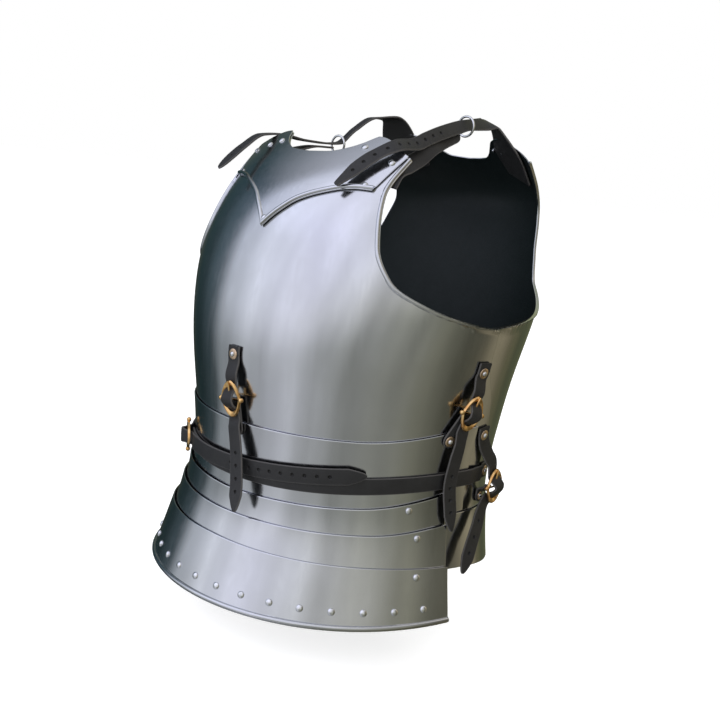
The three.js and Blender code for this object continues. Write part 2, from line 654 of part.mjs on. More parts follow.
function makeSideStraps() {
  const tabSeat = liftOf.backplate + plate + seatGap;
  const overBelt = plackartSeat + leather + seatGap;
  const lifts = buckleLifts(overBelt + sideBuckle.stand);
  const half = buckleLong / 2 / bodyHeight;
  for (const [sign, side] of [[1, "left"], [-1, "right"]]) {
    const on = (angle, drop, lift, share, facing = angle) => ({
      point: bodyPoint(sign * angle, drop, lift),
      out: skinNormal(sign * facing, drop),
      width: strapWidth * share,
    });
    const { angle, drop, facing } = sideBuckle;
    const strap = `side_strap_${side}`;
    keep(strap, stripSolid([
      on(sideRivet.angle - 0.4, sideRivet.drop - 0.016, seatGap, 1),
      on(sideRivet.angle, sideRivet.drop, seatGap, 1),
      on(92, 0.662, seatGap + 0.8, 1),
      on(96, 0.687, overBelt - 1.4, 1),
      on(angle - 1.6, drop - half * 1.3, lifts.under - 2.6, 1, facing + 3),
      on(angle - 0.8, drop - half * belowFrame, lifts.under - 0.8, 0.8, facing),
      on(angle - 0.2, drop - half * barClear, lifts.strap, 0.85, facing),
      on(angle, drop, lifts.strap + barRise, 1, facing),
      on(angle, drop + half * barClear, lifts.strap, 0.85, facing),
      on(angle - 0.6, drop + half * belowFrame, lifts.under - 0.8, 0.8, facing),
      ...sideStrapEnd.map((row) => on(row.angle, row.drop, row.lift * hangStand, row.wide, row.facing)),
    ], leather), hide);
    const tab = `side_tab_${side}`;
    keep(tab, stripSolid([
      on(angle, drop, lifts.tab - 1.4, 0.8, facing),
      on(angle - 0.2, drop + half * 0.2, lifts.tab - 3.4, 0.85, facing + 3),
      on(sideTabRivet.angle + 0.3, sideTabRivet.drop - 0.0105, tabSeat + 0.1, 0.9),
      on(sideTabRivet.angle, sideTabRivet.drop, tabSeat + 0.1, 0.9),
      on(sideTabRivet.angle - 0.6, sideTabRivet.drop + 0.012, tabSeat + 0.1, 0.9),
    ], leather), hide);
    const along = bodyPoint(sign * angle, drop - half, 0).sub(bodyPoint(sign * angle, drop + half, 0));
    const out = skinNormal(sign * facing, drop);
    const matrix = frameAt(bodyPoint(sign * angle, drop, lifts.frame), out, along);
    keep(`side_buckle_${side}`, buckleSolid(matrix), brass);
    solids[strap] = solids[strap].subtract(tongueSolid(matrix, tonguePlay));
    strapRivet(`side_strap_rivet_${side}`, strap, "breastplate", sign * sideRivet.angle, sideRivet.drop, -plate,
      seatGap + leather);
    strapRivet(`side_tab_rivet_${side}`, tab, "backplate", sign * sideTabRivet.angle, sideTabRivet.drop,
      liftOf.backplate, tabSeat + leather + 0.2);
  }
}

// Waist belt: the wearer's left part ends in the buckle, the right part runs on over it
function makeBelt() {
  const sides = liftOf.backplate + plate + seatGap + 0.2;
  const drop = (angle) => 0.726 + 0.02 * Math.cos(radians(angle)) ** 2;
  const ground = (angle) => {
    const far = Math.abs(angle);
    if (far > 97) return sides;
    return far > 91 ? seatGap + 0.6 : plackartSeat;
  };
  const buckleAngle = -34;
  const lifts = buckleLifts(plackartSeat);
  const halfBuckle = 6.6;
  const steps = (from, to, count) => evenRows(from, to, count);
  const left = [103.5, 98.5, 94.5, 91.5, 87.5, ...steps(83, buckleAngle, 16)];
  keep("waist_belt_left", stripSolid(
    left.map((angle) => bodyPlace(angle, drop(angle), ground(angle), beltWidth)),
    leather,
  ), hide);
  const upper = plackartSeat + leather + layerGap;
  const right = [
    ...[-103.5, -98.5, -94.5, -91.5, -87.5, ...steps(-83, buckleAngle - halfBuckle * 1.25, 5)]
      .map((angle) => bodyPlace(angle, drop(angle), ground(angle), beltWidth)),
    bodyPlace(buckleAngle - halfBuckle * belowFrame, drop(buckleAngle), lifts.under, beltWidth * 0.85),
    bodyPlace(buckleAngle - halfBuckle * barClear, drop(buckleAngle), lifts.strap, beltWidth * 0.85),
    bodyPlace(buckleAngle, drop(buckleAngle), lifts.strap + beltBarRise, beltWidth),
    bodyPlace(buckleAngle + halfBuckle * barClear, drop(buckleAngle), lifts.strap, beltWidth * 0.85),
    bodyPlace(buckleAngle + halfBuckle * belowFrame, drop(buckleAngle), lifts.under, beltWidth * 0.85),
    bodyPlace(buckleAngle + halfBuckle * pastFrame, drop(buckleAngle) - 0.001, upper, beltWidth),
    ...steps(buckleAngle + 2 * halfBuckle, 45, 9).map((angle) => {
      const rise = 0.022 * (angle - buckleAngle) / (45 - buckleAngle);
      return bodyPlace(angle, drop(angle) - rise, upper, beltWidth);
    }),
    bodyPlace(49, drop(49) - 0.024, upper, beltWidth * 0.4),
  ];
  keep("waist_belt_right", stripSolid(right, leather), hide);
  const ahead = bodyPoint(buckleAngle - 1, drop(buckleAngle), 0)
    .sub(bodyPoint(buckleAngle + 1, drop(buckleAngle), 0));
  const out = skinNormal(buckleAngle, drop(buckleAngle));
  const matrix = frameAt(bodyPoint(buckleAngle, drop(buckleAngle), lifts.frame), out, ahead)
    .scale(new THREE.Vector3(beltBuckleScale, beltBuckleScale, 1));
  keep("belt_buckle", buckleSolid(matrix), brass);
  solids.waist_belt_right = solids.waist_belt_right.subtract(tongueSolid(matrix, tonguePlay));
  for (const [sign, side] of [[1, "left"], [-1, "right"]]) {
    strapRivet(`belt_rivet_${side}`, `waist_belt_${side}`, "backplate", sign * 101, drop(101),
      liftOf.backplate, sides + leather);
  }
}

// Shoulder straps: a strap riveted inside the backplate passes the ring and runs on over the neck plate;
// a tab from under the breastplate's shoulder ends at the ring. The left strap is drawn tight over the
// neck plate, and the right one hangs lower and stands off at its end. Shares of chestHalfWidth,
// chestFront, bodyHeight and shoulderWidth.
const shoulderSpans = {
  left: [
    { side: 0.375, ahead: -0.440, drop: 0.036, wide: 1.6, tilt: 0.35 },
    { side: 0.385, ahead: -0.371, drop: 0.039, wide: 1.2, tilt: 0.9 },
    { side: 0.405, ahead: -0.264, drop: 0.0435, wide: 1, tilt: 1.2 },
    { side: 0.430, ahead: -0.150, drop: 0.0484, wide: 0.9, tilt: 1.3 },
    { side: 0.445, ahead: -0.037, drop: 0.0582, wide: 1, tilt: 1.3 },
    { side: 0.465, ahead: 0.112, drop: 0.0728, wide: 1, tilt: 1.3 },
    { side: 0.475, ahead: 0.226, drop: 0.0870, wide: 1, tilt: 1.2 },
    { side: 0.482, ahead: 0.330, drop: 0.1010, wide: 1, tilt: 1.0 },
    { side: 0.486, ahead: 0.450, drop: 0.1060, wide: 1, tilt: 0.8 },
    { side: 0.43, ahead: 0.580, drop: 0.1330, wide: 1, tilt: 0.6 },
    { side: 0.37, ahead: 0.72, drop: 0.180, wide: 1, tilt: 0.5 },
    { side: 0.36, ahead: 0.745, drop: 0.189, wide: 0.4, tilt: 0.5 },
  ],
  right: [
    { side: 0.375, ahead: -0.440, drop: 0.036, wide: 1.6, tilt: 0.2 },
    { side: 0.405, ahead: -0.330, drop: 0.040, wide: 1.2, tilt: 0 },
    { side: 0.440, ahead: -0.21, drop: 0.070, wide: 1, tilt: 0 },
    { side: 0.465, ahead: -0.10, drop: 0.105, wide: 0.9, tilt: 0 },
    { side: 0.455, ahead: 0.04, drop: 0.109, wide: 1, tilt: 0 },
    { side: 0.455, ahead: 0.21, drop: 0.108, wide: 1, tilt: 0 },
    { side: 0.465, ahead: 0.37, drop: 0.102, wide: 1, tilt: 0 },
    { side: 0.48, ahead: 0.50, drop: 0.107, wide: 1, tilt: 0 },
    { side: 0.495, ahead: 0.61, drop: 0.133, wide: 1, tilt: 0 },
    { side: 0.50, ahead: 0.70, drop: 0.160, wide: 1, tilt: 0 },
    { side: 0.505, ahead: 0.77, drop: 0.184, wide: 0.5, tilt: 0 },
  ],
};
const tabSpans = {
  left: [
    { side: 0.488, ahead: 0.29, drop: 0.1260, wide: 1.15, tilt: 1.2 },
    { side: 0.485, ahead: 0.178, drop: 0.1000, wide: 1.1, tilt: 1.3 },
    { side: 0.455, ahead: 0.042, drop: 0.0840, wide: 1, tilt: 1.3 },
    { side: 0.436, ahead: -0.080, drop: 0.0690, wide: 1, tilt: 1.3 },
  ],
  right: [
    { side: 0.46, ahead: 0.22, drop: 0.126, wide: 1.4, tilt: 0 },
    { side: 0.46, ahead: 0.10, drop: 0.118, wide: 1.1, tilt: 0 },
    { side: 0.46, ahead: -0.05, drop: 0.1165, wide: 1, tilt: 0 },
  ],
};
const tabRoots = {
  left: [{ angle: 37.5, drop: 0.175 }, { angle: 38, drop: 0.150 }],
  right: [{ angle: 29, drop: 0.185 }, { angle: 31, drop: 0.155 }],
};
const ringRow = 3;
const shoulderRoot = [{ angle: 149, drop: 0.130 }, { angle: 149, drop: 0.080 }];
const shoulderRivets = [{ angle: 159.5, drop: 0.072 }, { angle: 154.5, drop: 0.078 }, { angle: 149, drop: 0.085 }];

function spanPlace(sign, row) {
  return {
    point: new THREE.Vector3(
      sign * row.side * chestHalfWidth, -row.ahead * chestFront, heightAt(row.drop),
    ),
    out: new THREE.Vector3(sign * row.tilt, 0, 1).normalize(),
    width: row.wide * shoulderWidth,
  };
}

// Place midway between two others
function placeBetween(a, b) {
  return {
    point: a.point.clone().lerp(b.point, 0.5),
    out: a.out.clone().add(b.out).normalize(),
    width: (a.width + b.width) / 2,
  };
}

function makeShoulders() {
  for (const [sign, side] of [[1, "left"], [-1, "right"]]) {
    const under = liftOf.backplate - layerGap - leather - rootSink;
    const strap = `shoulder_strap_${side}`;
    const span = shoulderSpans[side].map((row) => spanPlace(sign, row));
    keep(strap, stripSolid([
      ...shoulderRoot.map((row) => bodyPlace(sign * row.angle, row.drop, under, shoulderRootWidth)),
      ...span,
    ], leather), hide);
    const tabUnder = liftOf.breastplate - layerGap - leather - tabSink;
    const roots = tabRoots[side].map((row) => bodyPlace(sign * row.angle, row.drop, tabUnder, shoulderRootWidth * tabRootShare));
    const tabRise = tabSpans[side].map((row) => spanPlace(sign, row));
    keep(`shoulder_tab_${side}`, stripSolid([
      ...roots,
      placeBetween(roots[1], tabRise[0]),
      ...tabRise,
    ], leather), hide);
    const ring = new THREE.TorusGeometry(ringRadius, ringWire, 6, 18).rotateX(Math.PI / 2);
    const ringAt = span[ringRow].point.clone().add(new THREE.Vector3(0, 0, -leather / 4));
    keep(`ring_buckle_${side}`, solidFromGeometry(ring, new THREE.Matrix4().makeTranslation(ringAt)), steel);
    shoulderRivets.forEach(({ angle, drop }, i) => {
      strapRivet(`shoulder_rivet_${i + 1}_${side}`, strap, "backplate", sign * angle, drop,
        under, liftOf.backplate + plate);
    });
  }
}

makeBreastplate();
makeNeckPlate();
makePlackart();
makeLames();
makeBackplate();
makePivots();
makePlackartStraps();
makeSideStraps();
makeBelt();
makeShoulders();

for (const [name, solid] of Object.entries(solids)) {
  const { vertProperties, triVerts } = solid.getMesh();
  const geometry = new THREE.BufferGeometry();
  geometry.setAttribute("position", new THREE.BufferAttribute(vertProperties, 3));
  geometry.setIndex(new THREE.BufferAttribute(triVerts, 1));
  geometry.computeVertexNormals();
  const mesh = new THREE.Mesh(geometry, new THREE.MeshStandardMaterial(colours[name]));
  mesh.name = name;
  group.add(mesh);
}

export default group;
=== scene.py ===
# A steel cuirass fastened as when worn: breastplate, neck plate, plackart, three waist lames, backplate and
# back skirt, with black leather straps and brass buckles. Metres and degrees. +Z is up, -Y the wearer's
# front, +X the wearer's left. An angle round the body is 0 at the middle of the front and 90 at the
# wearer's left. A drop is a share of the body's height, and a lift is a distance out from the breastplate.
import math

import bpy
import numpy as np
from mathutils import Matrix, Vector


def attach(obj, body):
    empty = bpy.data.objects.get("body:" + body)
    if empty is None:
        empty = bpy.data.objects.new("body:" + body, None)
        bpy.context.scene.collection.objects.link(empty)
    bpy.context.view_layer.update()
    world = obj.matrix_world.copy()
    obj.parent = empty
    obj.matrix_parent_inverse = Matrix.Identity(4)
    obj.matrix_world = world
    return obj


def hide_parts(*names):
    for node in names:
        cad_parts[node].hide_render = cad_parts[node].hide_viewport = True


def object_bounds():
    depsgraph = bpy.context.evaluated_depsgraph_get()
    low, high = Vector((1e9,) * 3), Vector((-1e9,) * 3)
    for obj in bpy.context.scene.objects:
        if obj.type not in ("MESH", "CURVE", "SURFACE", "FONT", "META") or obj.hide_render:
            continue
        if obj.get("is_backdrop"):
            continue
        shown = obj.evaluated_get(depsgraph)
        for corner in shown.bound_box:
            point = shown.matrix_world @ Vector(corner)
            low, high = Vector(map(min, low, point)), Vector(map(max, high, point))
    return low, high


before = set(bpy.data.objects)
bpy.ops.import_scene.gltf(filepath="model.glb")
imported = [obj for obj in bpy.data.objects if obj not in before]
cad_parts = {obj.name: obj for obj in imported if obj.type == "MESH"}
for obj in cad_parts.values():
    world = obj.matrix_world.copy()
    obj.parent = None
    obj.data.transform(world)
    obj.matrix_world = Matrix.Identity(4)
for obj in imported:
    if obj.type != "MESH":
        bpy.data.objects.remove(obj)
cadLow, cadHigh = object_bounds()
scene = bpy.context.scene

cameraView = {"target": (0, 0, -0.2558), "azimuth": 42.40, "elevation": 9.91, "roll": 5.91,
              "distance": 1.139, "lens": 49.89, "shift": (-0.0064, -0.0180)}


def placeCamera(view):
    # back = (sin a cos e, -cos a cos e, sin e) leads from the target to the camera; roll turns the view about it
    a, e, r = (math.radians(view[k]) for k in ("azimuth", "elevation", "roll"))
    back = Vector((math.sin(a) * math.cos(e), -math.cos(a) * math.cos(e), math.sin(e)))
    level = Vector((math.cos(a), math.sin(a), 0))
    up = back.cross(level)
    right = level * math.cos(r) + up * math.sin(r)
    up = up * math.cos(r) - level * math.sin(r)
    camera = bpy.data.objects.new("camera", bpy.data.cameras.new("camera"))
    scene.collection.objects.link(camera)
    place = Matrix((right, up, back)).transposed().to_4x4()
    place.translation = Vector(view["target"]) + back * view["distance"]
    camera.matrix_world = place
    camera.data.lens = view["lens"]
    camera.data.shift_x, camera.data.shift_y = view["shift"]
    camera.data.clip_start, camera.data.clip_end = 0.05, 50
    scene.camera = camera


placeCamera(cameraView)
print("camera placed")

body = {
    "height": 0.526, "originDrop": 0.046, "halfWidth": 0.200, "front": 0.192, "back": 0.193, "fullness": 0.035,
    # drop, then half width, front depth and back depth as shares of the chest's
    "sections": [(0.000, 0.780, 0.10, 0.321), (0.057, 0.785, 0.30, 0.642), (0.114, 0.795, 0.52, 0.865),
                 (0.181, 0.850, 0.72, 1.000), (0.257, 0.930, 0.85, 0.953), (0.342, 0.995, 0.93, 0.860),
                 (0.437, 0.980, 0.985, 0.777), (0.542, 0.925, 1.00, 0.697), (0.646, 0.880, 0.97, 0.653),
                 (0.751, 0.850, 0.95, 0.630), (0.837, 0.865, 0.97, 0.618), (0.913, 0.900, 1.03, 0.612),
                 (1.000, 0.950, 1.11, 0.618), (1.080, 0.990, 1.19, 0.630)],
}


def naturalSpline(xs, ys):
    # natural cubic spline: its bends m solve h[i-1] m[i-1] + 2 (h[i-1] + h[i]) m[i] + h[i] m[i+1] = 6 * change of
    # slope, and are 0 at both ends
    n, h = len(xs), np.diff(xs)
    a, b, i = np.eye(n), np.zeros(n), np.arange(1, n - 1)
    a[i, i - 1], a[i, i], a[i, i + 1] = h[:-1], 2 * (h[:-1] + h[1:]), h[1:]
    b[i] = 6 * np.diff(np.diff(ys) / h)
    m = np.linalg.solve(a, b)

    def value(x):
        k = np.clip(np.searchsorted(xs, x) - 1, 0, n - 2)
        p = (xs[k + 1] - x) / h[k]
        q = 1 - p
        return p * ys[k] + q * ys[k + 1] + ((p**3 - p) * m[k] + (q**3 - q) * m[k + 1]) * h[k]**2 / 6
    return value


def throughRows(rows, x):
    # smooth curve through a table's rows that never overshoots: cubic pieces whose slope at each row is the
    # harmonic mean of the slopes beside it, or 0 where they change sign. It works on one column or several
    rows = np.asarray(rows, float)
    xs, ys = rows[:, 0], rows[:, 1:]
    h = np.diff(xs)[:, None]
    s = np.diff(ys, axis=0) / h
    t = np.empty_like(ys)
    same = s[:-1] * s[1:] > 0
    t[1:-1] = np.where(same, 2 * s[:-1] * s[1:] / np.where(same, s[:-1] + s[1:], 1), 0)
    t[0], t[-1] = s[0], s[-1]
    x = np.clip(np.asarray(x, float), xs[0], xs[-1])
    k = np.clip(np.searchsorted(xs, x) - 1, 0, len(xs) - 2)
    u = ((x - xs[k]) / h[k, 0])[..., None]
    out = ((1 + 2 * u) * (1 - u)**2 * ys[k] + u * (1 - u)**2 * h[k] * t[k]
           + u * u * (3 - 2 * u) * ys[k + 1] + u * u * (u - 1) * h[k] * t[k + 1])
    return out[..., 0] if out.shape[-1] == 1 else out


sectionRows = np.array(body["sections"])
wideAt, frontAt, backAt = (naturalSpline(sectionRows[:, 0], sectionRows[:, c]) for c in (1, 2, 3))


def skinPoint(angle, drop):
    # x = half width * sin t * (1 + f cos^2 t), y = -depth * cos t * (1 + f sin^2 t), with f the fullness
    angle, drop = np.broadcast_arrays(np.radians(angle), np.asarray(drop, float))
    s, c = np.sin(angle), np.cos(angle)
    depth = np.where(c > 0, frontAt(drop) * body["front"], backAt(drop) * body["back"])
    return np.stack([wideAt(drop) * body["halfWidth"] * s * (1 + body["fullness"] * c * c),
                     -depth * c * (1 + body["fullness"] * s * s),
                     (body["originDrop"] - drop) * body["height"]], -1)


def unit(v):
    # v / its length
    return v / np.maximum(np.linalg.norm(v, axis=-1, keepdims=True), 1e-12)


def skinNormal(angle, drop):
    # the skin's slopes over a degree and over a 500th of the height to each side, crossed
    around = skinPoint(np.add(angle, 1), drop) - skinPoint(np.subtract(angle, 1), drop)
    down = skinPoint(angle, np.add(drop, 0.002)) - skinPoint(angle, np.subtract(drop, 0.002))
    return unit(np.cross(down, around))


def bodyPoint(angle, drop, lift):
    # skin + lift * normal
    return skinPoint(angle, drop) + skinNormal(angle, drop) * np.asarray(lift, float)[..., None]


def newPiece(name, parts, materials, sharp=None):
    # one mesh from parts, each {"points", "faces": [index arrays], "material": number or array, "marks": {name:
    # values}}, where a mark is a number for each point
    points, faces, finish, start = [], [], [], 0
    marks = sorted({k for p in parts for k in p.get("marks", {})})
    values = {k: [] for k in marks}
    for p in parts:
        n = len(p["points"])
        points.append(p["points"])
        for block in p["faces"]:
            faces += (np.asarray(block) + start).tolist()
        count = sum(len(block) for block in p["faces"])
        finish.append(np.broadcast_to(p.get("material", 0), count))
        for k in marks:
            values[k].append(p.get("marks", {}).get(k, np.zeros(n)))
        start += n
    mesh = bpy.data.meshes.new(name)
    mesh.from_pydata(np.concatenate(points), [], faces)
    mesh.polygons.foreach_set("material_index", np.concatenate(finish).astype(np.int32))
    mesh.polygons.foreach_set("use_smooth", np.ones(len(mesh.polygons), bool))
    for k in marks:
        mark = mesh.attributes.new(k, "FLOAT", "POINT")
        mark.data.foreach_set("value", np.concatenate(values[k]).astype(np.float32))
    for m in materials:
        mesh.materials.append(m)
    if sharp:
        mesh.set_sharp_from_angle(angle=math.radians(sharp))
    mesh.update()
    piece = bpy.data.objects.new(name, mesh)
    scene.collection.objects.link(piece)
    return piece


def settle(piece, node, bodyName="torso"):
    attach(piece, bodyName)
    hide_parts(node)
    return piece


def gridFaces(rows, columns, start=0, aroundRows=False, aroundColumns=False):
    # the four corners of each cell of a grid of points that is stored row by row
    i = np.arange(rows if aroundRows else rows - 1)[:, None]
    j = np.arange(columns if aroundColumns else columns - 1)[None, :]
    k, m = (i + 1) % rows, (j + 1) % columns
    return np.stack([i * columns + j, k * columns + j, k * columns + m, i * columns + m], -1).reshape(-1, 4) + start


def gathered(count):
    # positions from -1 to 1 that crowd towards both ends: sin of even steps
    return np.sin(np.linspace(-math.pi / 2, math.pi / 2, count))


plateSteel = {
    "thick": 0.0016, "columns": 221, "rows": 171, "rim": 4,  # grid lines, and facets round the rim
    "evenShare": 0.65, "meanRadius": 0.17, "fine": 3000,  # how the rows spread along the side edge
    "inwards": 3,  # cells from the rim to the point that its outward direction is taken from
}


def plate(p):
    # a grid over the body: angle = middle + share * side(row), drop = straight from the top edge to the bottom one;
    # a bead stands on the outer face as half a circle of radius r round the line that runs r inside the edge
    sideRows = np.array(p["side"], float)
    rowTop, rowBottom = sideRows[0, 0], sideRows[-1, 0]
    # rows spread evenly along the side edge's own run, a little closer near both ends
    fine = np.linspace(rowTop, rowBottom, plateSteel["fine"])
    turnRun = np.radians(np.diff(throughRows(sideRows, fine))) * plateSteel["meanRadius"]
    run = np.concatenate([[0], np.cumsum(np.hypot(np.diff(fine) * body["height"], turnRun))])
    count, even = plateSteel["rows"], plateSteel["evenShare"]
    spread = gathered(count) * (1 - even) + np.linspace(-1, 1, count) * even
    rows = np.interp((spread + 1) / 2 * run[-1], run, fine)
    shares = gathered(plateSteel["columns"])
    angle = shares[None, :] * throughRows(sideRows, rows)[:, None]
    first = throughRows(p["top"], np.abs(shares) * throughRows(sideRows, rowTop))
    last = throughRows(p["bottom"], np.abs(shares) * throughRows(sideRows, rowBottom))
    down = ((rows - rowTop) / (rowBottom - rowTop))[:, None]
    drop = first[None, :] * (1 - down) + last[None, :] * down
    angle = angle + p.get("middle", 0)
    thick, nr, nc = plateSteel["thick"], len(rows), len(shares)
    normal = skinNormal(angle, drop)
    skin = skinPoint(angle, drop)
    inner = skin + normal * p["lift"]
    outer = skin + normal * (p["lift"] + thick)
    # round the edge: first row, last column, last row and first column as sides 0 to 3, with the steps that lead
    # inwards from each
    edgeI = np.concatenate([np.zeros(nc - 1, int), np.arange(nr - 1), np.full(nc - 1, nr - 1),
                            np.arange(nr - 1, 0, -1)])
    edgeJ = np.concatenate([np.arange(nc - 1), np.full(nr - 1, nc - 1), np.arange(nc - 1, 0, -1),
                            np.zeros(nr - 1, int)])
    sideOf = np.repeat([0, 1, 2, 3], [nc - 1, nr - 1, nc - 1, nr - 1])
    stepI, stepJ = np.array([1, 0, -1, 0])[sideOf], np.array([0, -1, 0, 1])[sideOf]
    edge = outer[edgeI, edgeJ]
    inI, inJ = edgeI + stepI * plateSteel["inwards"], edgeJ + stepJ * plateSteel["inwards"]
    out = unit(edge - outer[np.clip(inI, 0, nr - 1), np.clip(inJ, 0, nc - 1)])
    for bead in p.get("beads", []):
        # bead: {"edges": sides of the grid, "radius", "until": last drop that carries it}
        chosen = np.isin(sideOf, bead["edges"]) & (drop[edgeI, edgeJ] < bead.get("until", 9))
        line = edge[chosen]
        flat = outer.reshape(-1, 3)
        blocks = np.array_split(flat, 20)  # so that the distances fit in memory
        away = np.concatenate([np.sqrt(((block[:, None] - line)**2).sum(-1).min(1)) for block in blocks])
        r = bead["radius"]
        rise = r * np.sqrt(np.clip(1 - ((away - r) / r)**2, 0, 1))
        outer = outer + normal * rise.reshape(nr, nc)[..., None]
    rim, k = [], plateSteel["rim"]
    n = len(edgeI)
    for step in range(1, k):
        turn = math.pi * step / k
        middle = (outer[edgeI, edgeJ] + inner[edgeI, edgeJ]) / 2
        rim.append(middle + out * (thick / 2 * math.sin(turn))
                   + normal[edgeI, edgeJ] * (thick / 2 * math.cos(turn)))
    outerIndex = edgeI * nc + edgeJ
    rings = [outerIndex] + [2 * nr * nc + s * n + np.arange(n) for s in range(k - 1)] + [outerIndex + nr * nc]
    rimFaces = [np.stack([a, np.roll(a, -1), np.roll(b, -1), b], -1) for a, b in zip(rings[:-1], rings[1:])]
    outerFaces = gridFaces(nr, nc)
    innerFaces = gridFaces(nr, nc, nr * nc)[:, ::-1]
    finish = np.concatenate([np.zeros(len(outerFaces)), np.ones(len(innerFaces)),
                             np.zeros(sum(map(len, rimFaces)))])
    return {"points": np.concatenate([outer.reshape(-1, 3), inner.reshape(-1, 3), *rim]),
            "faces": [outerFaces, innerFaces, *rimFaces], "material": finish}


def basis(out, ahead=(0, 0, 1)):
    # rows: across, ahead and out, square to each other
    out = unit(np.asarray(out, float))
    ahead = np.asarray(ahead, float)
    if abs(out @ unit(ahead)) > 0.95:
        ahead = np.array([0, 1, 0.0])
    ahead = unit(ahead - out * (ahead @ out))
    return np.array([np.cross(ahead, out), ahead, out])


def turned(profile, place, axes, around=28, material=0):
    # a profile of (radius, height) turned about its height; its first and last radius are 0
    profile = np.asarray(profile, float)
    t = np.linspace(0, 2 * math.pi, around, endpoint=False)
    r, z = profile[1:-1, 0][:, None], profile[1:-1, 1][:, None]
    ring = np.stack([r * np.cos(t), r * np.sin(t), z + 0 * t], -1).reshape(-1, 3)
    local = np.concatenate([ring, [[0, 0, profile[0, 1]], [0, 0, profile[-1, 1]]]])
    rows, top = len(profile) - 2, len(ring)
    a = np.arange(around)
    b = (a + 1) % around
    low = (rows - 1) * around
    caps = [np.stack([np.full(around, top), a, b], -1), np.stack([np.full(around, top + 1), low + b, low + a], -1)]
    return {"points": place + local @ axes, "faces": [gridFaces(rows, around, aroundColumns=True), *caps],
            "material": material}


def domeProfile(radius, height, below=0.0008):
    # a quarter of an ellipse, and a straight skirt below it
    t = np.linspace(0, math.pi / 2, 9)
    return [(0, height), *zip(radius * np.sin(t[1:]), height * np.cos(t[1:])), (radius, -below), (0, -below)]


def domes(rivets, lift, radius, height, material=0):
    # round rivet heads on the body, each (angle, drop)
    return [turned(domeProfile(radius, height), bodyPoint(a, d, lift), basis(skinNormal(a, d)), material=material)
            for a, d in rivets]


def tube(path, radius, out, sides=12, closed=False):
    # a round wire along a path: ring = path + radius * (cos t * across + sin t * up)
    path, out = np.asarray(path, float), np.broadcast_to(out, np.shape(path))
    radius = np.broadcast_to(radius, len(path))[:, None, None]
    ahead = unit(np.roll(path, -1, 0) - np.roll(path, 1, 0)) if closed else unit(np.gradient(path, axis=0))
    across = unit(np.cross(ahead, out))
    up = np.cross(across, ahead)
    t = np.linspace(0, 2 * math.pi, sides, endpoint=False)[None, :, None]
    ring = path[:, None] + radius * (np.cos(t) * across[:, None] + np.sin(t) * up[:, None])
    n = len(path)
    faces = [gridFaces(n, sides, aroundRows=closed, aroundColumns=True)]
    points = ring.reshape(-1, 3)
    if not closed:
        a = np.arange(sides)
        b = (a + 1) % sides
        low, end = (n - 1) * sides, n * sides
        faces += [np.stack([np.full(sides, end), a, b], -1),
                  np.stack([np.full(sides, end + 1), low + b, low + a], -1)]
        points = np.concatenate([points, path[:1], path[-1:]])
    return {"points": points, "faces": faces}


def outward(part):
    # turns a closed part's faces out when its volume comes out negative
    p = part["points"]
    volume = 0.0
    for f in part["faces"]:
        f = np.asarray(f)
        volume += np.einsum("ij,ij->", p[f[:, 0]], np.cross(p[f[:, 1]], p[f[:, 2]]))
        if f.shape[1] == 4:
            volume += np.einsum("ij,ij->", p[f[:, 0]], np.cross(p[f[:, 2]], p[f[:, 3]]))
    if volume < 0:
        part["faces"] = [np.asarray(f)[:, ::-1] for f in part["faces"]]
    return part


strapCut = {
    "round": 0.0007, "crown": 0.00015, "groove": 0.00012, "grooveIn": 0.0016, "grooveWide": 0.0004,
    # the next row starts with the width of the band along each strap edge that is painted lighter, a painted
    # highlight
    "cutEdge": 0.0009, "holeRadius": 0.0016, "holeDeep": 0.0016, "holeSoft": 0.0006, "spacing": 0.0016,
    # how far each kind of end reaches, as a share of the strap's width
    "reach": {"point": 1.05, "round": 0.5, "square": 0.08, "blunt": 0.55},
}


def endShape(kind, u):
    # the width's share at u, from 0 at the very end to 1 where the strap is full: a power of u or a quarter circle
    quarter = np.sqrt(np.clip(1 - (1 - u)**2, 0.0004 if kind == "round" else 0, 1))
    return {"point": 0.10 + 0.90 * u**0.62, "round": quarter, "square": 0.93 + 0.07 * quarter,
            "blunt": 0.35 + 0.65 * u**0.8}[kind]


